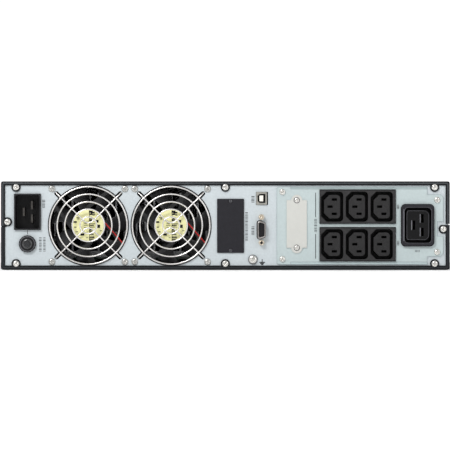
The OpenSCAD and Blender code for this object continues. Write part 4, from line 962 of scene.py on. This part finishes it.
# Blades of the large socket and contacts of a small one, from the socket's middle.
HEAVY_BLADES = ((-4, 0), (4, 6.5), (4, -6.5))
SMALL_BLADES = ((2.2, 7), (2.2, -7), (-2, 0))


def large_socket_highlights():
    """Painted highlights along the edges of the large socket's frame, its core and its three apertures, and
    a painted highlight strip down the frame's left side.
    """
    lips = Shape()
    lips.frame(rounded(*C19_FRAME, 27.0, 35.4, 3.5), rounded(*C19_FRAME, 26.24, 34.64, 3.2), -3.46, -3.1)
    mirrored = [(2 * C19_FRAME[0] - x, z) for x, z in reversed(keyed(*C19_FRAME, 21.8, 28.6, 3, 1.6))]
    lips.frame(mirrored, inset(mirrored, 0.35), -1.86, -1.5, lip=0.1)
    for x, z, h in ((-4.4, 0, 9.4), (4, 6.7, 8.4), (4, -6.7, 8.4)):
        lips.block(C19[0] + x - 1.95, -1.9, C19[1] + z - h / 2, (0.95, 0.3, h), 0.15)
    lips.block(C19[0] - 14.0, -3.5, C19[1] - 15.5, (0.8, 0.3, 31), 0.15)
    finish_mesh("heavy_socket_highlight_lines", lips, M["painted_highlight_edge"], "chassis")


def block_shade_steps():
    """Dark steps along the long sides of both socket blocks: painted shade lines at the blocks' edges."""
    borders = Shape()
    upper = ((HIGH_BLOCK + 15.8, 1.02), (HIGH_BLOCK - 16.83, 0.5))
    lower = ((LOW_BLOCK + 16.33, 0.5), (LOW_BLOCK - 16.83, 1.02))
    for z, h in upper + lower:
        borders.block(BLOCK_X - 37.4, -1.64, z, (74.8, 0.7, h), 0.1)
    finish_mesh("socket_block_shade_steps", borders, M["chip_black"], "chassis")


def socket_contacts():
    """Three contacts deep inside each of the seven sockets."""
    heavy = Shape()
    for x, z in HEAVY_BLADES:
        heavy.block(C19[0] + x - 0.9, 5, C19[1] + z - 3.6, (0.8, 19, 7.2), 0.1)
    node = "outlet_contacts"
    finish_mesh("heavy_socket_contacts", heavy, M["pin_steel"], "chassis", [node])
    light = Shape()
    for cz in (LOW_BLOCK, HIGH_BLOCK):
        for cx in (-25.1, -0.8, 23.5):
            for x, z in SMALL_BLADES:
                light.block(BLOCK_X + cx + x - 2.2, 9, cz + z + 0.4, (4.4, 9, 0.6), 0.1)
    finish_mesh("socket_contacts", light, M["chip_black"], "chassis")


large_socket_highlights()
block_shade_steps()
socket_contacts()


# ------------------------------------------------------------------ printed marks and painted edge shadows

PANEL, PLATE = 1.2, 0.2


def tally(shape, x, z0, z1, width, d, cell=1.45):
    """A run of plain bars up the panel where the unit carries a caption."""
    count = int(round((z1 - z0) / cell))
    for k in range(count):
        z = z0 + (k + 0.5) * (z1 - z0) / count
        shape.stroke([(x - width / 2, z), (x + width / 2, z)], (0.5, 0.8, 0.6)[k % 3], d)


def rear_printing():
    """Bars for the captions, and the plain lines that point at the breaker and the sockets."""
    shape = Shape()
    tally(shape, -178.2, 60.2, 68.7, 2.4, PANEL)
    tally(shape, -181.5, 17.3, 32.1, 2.2, PANEL)
    tally(shape, -177.5, 17.3, 32.1, 2.0, PANEL)
    shape.stroke([(BREAKER[0], 38.4), (BREAKER[0], 34.9)], 0.6, PANEL)
    tally(shape, 20.8, 27.7, 56.5, 2.1, PANEL)
    tally(shape, 27.0, 65.4, 72.3, 2.6, PANEL)
    tally(shape, 27.0, 33.5, 42.7, 2.4, PANEL)
    tally(shape, 88.5, 36.4, 50.0, 2.3, PLATE)
    shape.stroke([(88.5, 75.2), (88.5, 51.6)], 0.75, PLATE)
    shape.stroke([(88.5, 10.9), (88.5, 34.7)], 0.75, PLATE)
    tally(shape, 169.3, 59.2, 63.8, 1.8, PLATE, 1.2)
    tally(shape, 169.3, 23.6, 28.4, 1.8, PLATE, 1.2)
    for k in range(4):
        shape.stroke([(186.2 + 1.3 * k, 17.2), (186.2 + 1.3 * k, 19.2)], 0.5, PLATE)
    return shape


def earth_sign():
    """A stem and three shortening bars beside the ground terminal."""
    earth = Shape()
    earth.stroke([(36.1, 10.0), (36.1, 7.2)], 0.8, PANEL)
    for k, half in enumerate((2.5, 1.7, 0.8)):
        earth.stroke([(36.1 - half, 7.1 - 1.1 * k), (36.1 + half, 7.1 - 1.1 * k)], 0.95, PANEL)
    finish_mesh("earth_sign", earth, M["label_ink"], "chassis")


OUT_X0, OUT_X1 = 50.6, 213.6
OUT_Z0, OUT_Z1 = 5.2, 81.0
NECK_X = 197.9


def output_panel_shadow_lines():
    """Painted shadow lines along the output panel's edge, notched round the rim's tabs, and along the inner
    lines of its strips.
    """
    shape = Shape()
    corner = circle(OUT_X0 + 1.8, OUT_Z1 - 1.8, 1.8, 5, 90, 90)
    corner += circle(OUT_X0 + 1.8, OUT_Z0 + 1.8, 1.8, 5, 180, 90)
    shape.stroke([(NECK_X, OUT_Z1)] + corner + [(NECK_X, OUT_Z0)], 0.35, PLATE)
    top, notch, strip = OUT_Z1 - MID_Z, 30.25, 35.55
    for s in (-1, 1):
        edge = [(NECK_X, MID_Z + s * top), (NECK_X, MID_Z + s * notch), (210.9, MID_Z + s * notch)]
        shape.stroke(edge + [(OUT_X1, MID_Z + s * (notch - 2.7))], 0.35, PLATE)
        fold = [(64, MID_Z + s * top), (64, MID_Z + s * strip), (NECK_X, MID_Z + s * strip)]
        shape.stroke(fold, 0.28, PLATE)
    tab = [(OUT_X1, 47.1), (207.8, 47.1), (207.8, 32.7), (OUT_X1, 32.7)]
    shape.stroke([(OUT_X1, 70.8)] + tab + [(OUT_X1, 15.7)], 0.35, PLATE)
    return shape


def output_strips():
    """The shallow darker strips along the top and bottom of the output panel; the upper one has painted
    shade and the lower one painted light.
    """
    for name, z, look in (("upper", 78.95, "output_band"), ("lower", 5.1, "output_band_painted_lit")):
        band = Shape()
        band.prism([(64.2, z), (198.0, z), (198.0, z + 2.15), (64.2, z + 2.15)], 0.52, 0.64)
        finish_mesh(f"output_band_{name}", band, M[look], "chassis")


finish_mesh("printed_marks", rear_printing(), M["ink"], "chassis")
earth_sign()
# Painted shadow lines along the output panel's edges.
finish_mesh("output_panel_edge_shadows", output_panel_shadow_lines(), M["painted_edge_shadow"], "chassis")
output_strips()


# ------------------------------------------------------------------ front display

FACE = FRONT_D + 1.0
LCD_D = FACE - 1.155
KEY_Z = 15.0


def key_icon(k, x):
    """Strokes of one key's icon: power, stop or select."""
    if k == 0:
        return [circle(x, KEY_Z, 1.7, 19, 125, 290), [(x, KEY_Z + 0.2), (x, KEY_Z + 2.3)]]
    if k == 1:
        return [circle(x, KEY_Z, 1.7, 25, 0, 359)]
    return [[(x - 1.8, KEY_Z + 0.8), (x, KEY_Z - 1.0), (x + 1.8, KEY_Z + 0.8)]]


def key_printing():
    """An icon on each key."""
    icons = Shape()
    for k, x in enumerate((DIAL_X + 15, DIAL_X, DIAL_X - 15)):
        for line in key_icon(k, x):
            for a, b in zip(line, line[1:]):
                icons.stroke([a, b], 0.45, FACE + 0.055)
    finish_mesh("key_icons", icons, M["pale_ink"], "display")


def screen():
    """The display's backing, and a picture of bars and a battery on it."""
    lcd = Shape()
    lcd.prism(rounded(DIAL_X, MID_Z + 6, 47, 24, 1), FACE - 1.19, FACE - 1.16)
    finish_mesh("lcd_back", lcd, M["lcd_back"], "display")
    symbols = Shape()
    for i in range(4):
        symbols.block(DIAL_X + 6 + 3.4 * i, LCD_D, MID_Z - 2, (2.4, 0.01, 3 + 3.2 * i))
    cell = rounded(DIAL_X - 12, MID_Z + 6.5, 15, 8, 1)
    symbols.stroke(cell + cell[:1], 0.6, FACE - 1.1)
    for i in range(3):
        symbols.block(DIAL_X - 18.2 + 4.4 * i, LCD_D, MID_Z + 3.6, (3.4, 0.01, 5.8))
    finish_mesh("lcd_symbols", symbols, M["label_ink"], "display")


def status_lenses():
    """Two green lenses and an amber one over the screen."""
    for i, tint in enumerate(("lens_green", "lens_green", "lens_amber")):
        lens = Shape()
        lens.prism(rounded(DIAL_X + (1 - i) * 9, MID_Z + 26, 5.2, 2.0, 0.9), FACE - 0.1, FACE - 1.1, 0.25)
        finish_mesh(f"status_lens_{i + 1}", lens, M[tint], "display")


key_printing()
screen()
status_lenses()


# ------------------------------------------------------------------ batteries

BATTERY_TOP = 70.75
BATTERY_STEP = (151.3, 100)


def flat_tile(shape, x0, d0, width, depth, low, high):
    """A thin rectangle that lies on a battery's lid."""
    corners = [(x0, d0), (x0 + width, d0), (x0 + width, d0 + depth), (x0, d0 + depth)]
    sides = [(0, 1, 2, 3), (7, 6, 5, 4), (0, 4, 5, 1), (1, 5, 6, 2), (2, 6, 7, 3), (3, 7, 4, 0)]
    shape.add([(x, d, high) for x, d in corners] + [(x, d, low) for x, d in corners], sides)


def battery_labels():
    """A plain white label with five bars on each battery."""
    labels = Shape()
    label_bars = Shape()
    for i in range(2):
        for j in range(3):
            x0 = 62.15 + (i - 1) * BATTERY_STEP[0]
            d0 = 252 + j * BATTERY_STEP[1]
            flat_tile(labels, x0 + 30, d0 + 14, 91, 56, BATTERY_TOP + 0.01, BATTERY_TOP + 0.08)
            for k in range(5):
                bar = (x0 + 38, d0 + 22 + 9 * k, 60 - 9 * k, 3.5)
                flat_tile(label_bars, *bar, BATTERY_TOP + 0.08, BATTERY_TOP + 0.12)
    finish_mesh("battery_labels", labels, M["label_white"], "battery_drawer")
    finish_mesh("battery_label_bars", label_bars, M["label_ink"], "battery_drawer")


battery_labels()


# ------------------------------------------------------------------ studio


def floor():
    """A wide pale sheet just under the object."""
    n, size = 24, 9.0
    row = [(i / n - 0.5) * size for i in range(n + 1)]
    verts = [(x, y, -0.0004) for y in row for x in row]
    faces = []
    for j in range(n):
        for i in range(n):
            k = j * (n + 1) + i
            faces.append((k, k + 1, k + n + 2, k + n + 1))
    mesh = bpy.data.meshes.new("studio_floor")
    mesh.from_pydata(verts, [], faces)
    white = (0.97, 0.97, 0.97)
    look = surface("floor_white", white, 0.8, mottle=(3, 0.01), grain=(60, 0.0), specular=0.1, edge=0)
    mesh.materials.append(look)
    obj = bpy.data.objects.new("studio_floor", mesh)
    bpy.context.scene.collection.objects.link(obj)


def softbox(name, place, target, size, power):
    """A rectangular lamp that faces a target."""
    light = bpy.data.lights.new(name, "AREA")
    light.shape = "RECTANGLE"
    light.size, light.size_y = size
    light.energy = power
    obj = bpy.data.objects.new(name, light)
    obj.location = place
    obj.rotation_euler = (Vector(target) - Vector(place)).to_track_quat("-Z", "Y").to_euler()
    bpy.context.scene.collection.objects.link(obj)


def surroundings():
    """An even white sky, brighter behind the object than on the photographed side."""
    world = bpy.data.worlds.new("studio")
    bpy.context.scene.world = world
    world.use_nodes = True
    nodes, links = world.node_tree.nodes, world.node_tree.links
    background = nodes["Background"]
    background.inputs["Color"].default_value = (1.0, 1.0, 1.0, 1.0)
    direction = nodes.new("ShaderNodeTexCoord")
    parts = nodes.new("ShaderNodeSeparateXYZ")
    links.new(direction.outputs["Generated"], parts.inputs["Vector"])
    fall = nodes.new("ShaderNodeMapRange")
    fall.interpolation_type = "SMOOTHSTEP"
    fall.inputs["From Min"].default_value = -0.9
    fall.inputs["From Max"].default_value = 0.6
    fall.inputs["To Min"].default_value = 0.38
    fall.inputs["To Max"].default_value = 1.06
    links.new(parts.outputs["Y"], fall.inputs["Value"])
    links.new(fall.outputs["Result"], background.inputs["Strength"])


def view():
    """A long lens, straight on to the rear panel."""
    across, away, height = -0.34, 3000, 43.72
    camera = bpy.data.cameras.new("camera")
    camera.sensor_width = 36.0
    camera.lens = 244.8
    camera.clip_start, camera.clip_end = 0.1, 60.0
    eye = bpy.data.objects.new("camera", camera)
    eye.location = (across * MM, (REAR - away) * MM, height * MM)
    eye.rotation_euler = (math.pi / 2, 0, 0)
    bpy.context.scene.collection.objects.link(eye)
    bpy.context.scene.camera = eye


floor()
softbox("key", (-1.1, -2.3, 1.7), (0, -0.3, 0.04), (0.9, 0.7), 42)
softbox("fill", (1.5, -2.2, 0.9), (0, -0.3, 0.04), (1.0, 1.0), 8)
surroundings()
view()
settings = bpy.context.scene.view_settings
settings.view_transform = "Standard"
settings.look = "None"
settings.exposure = 0.0
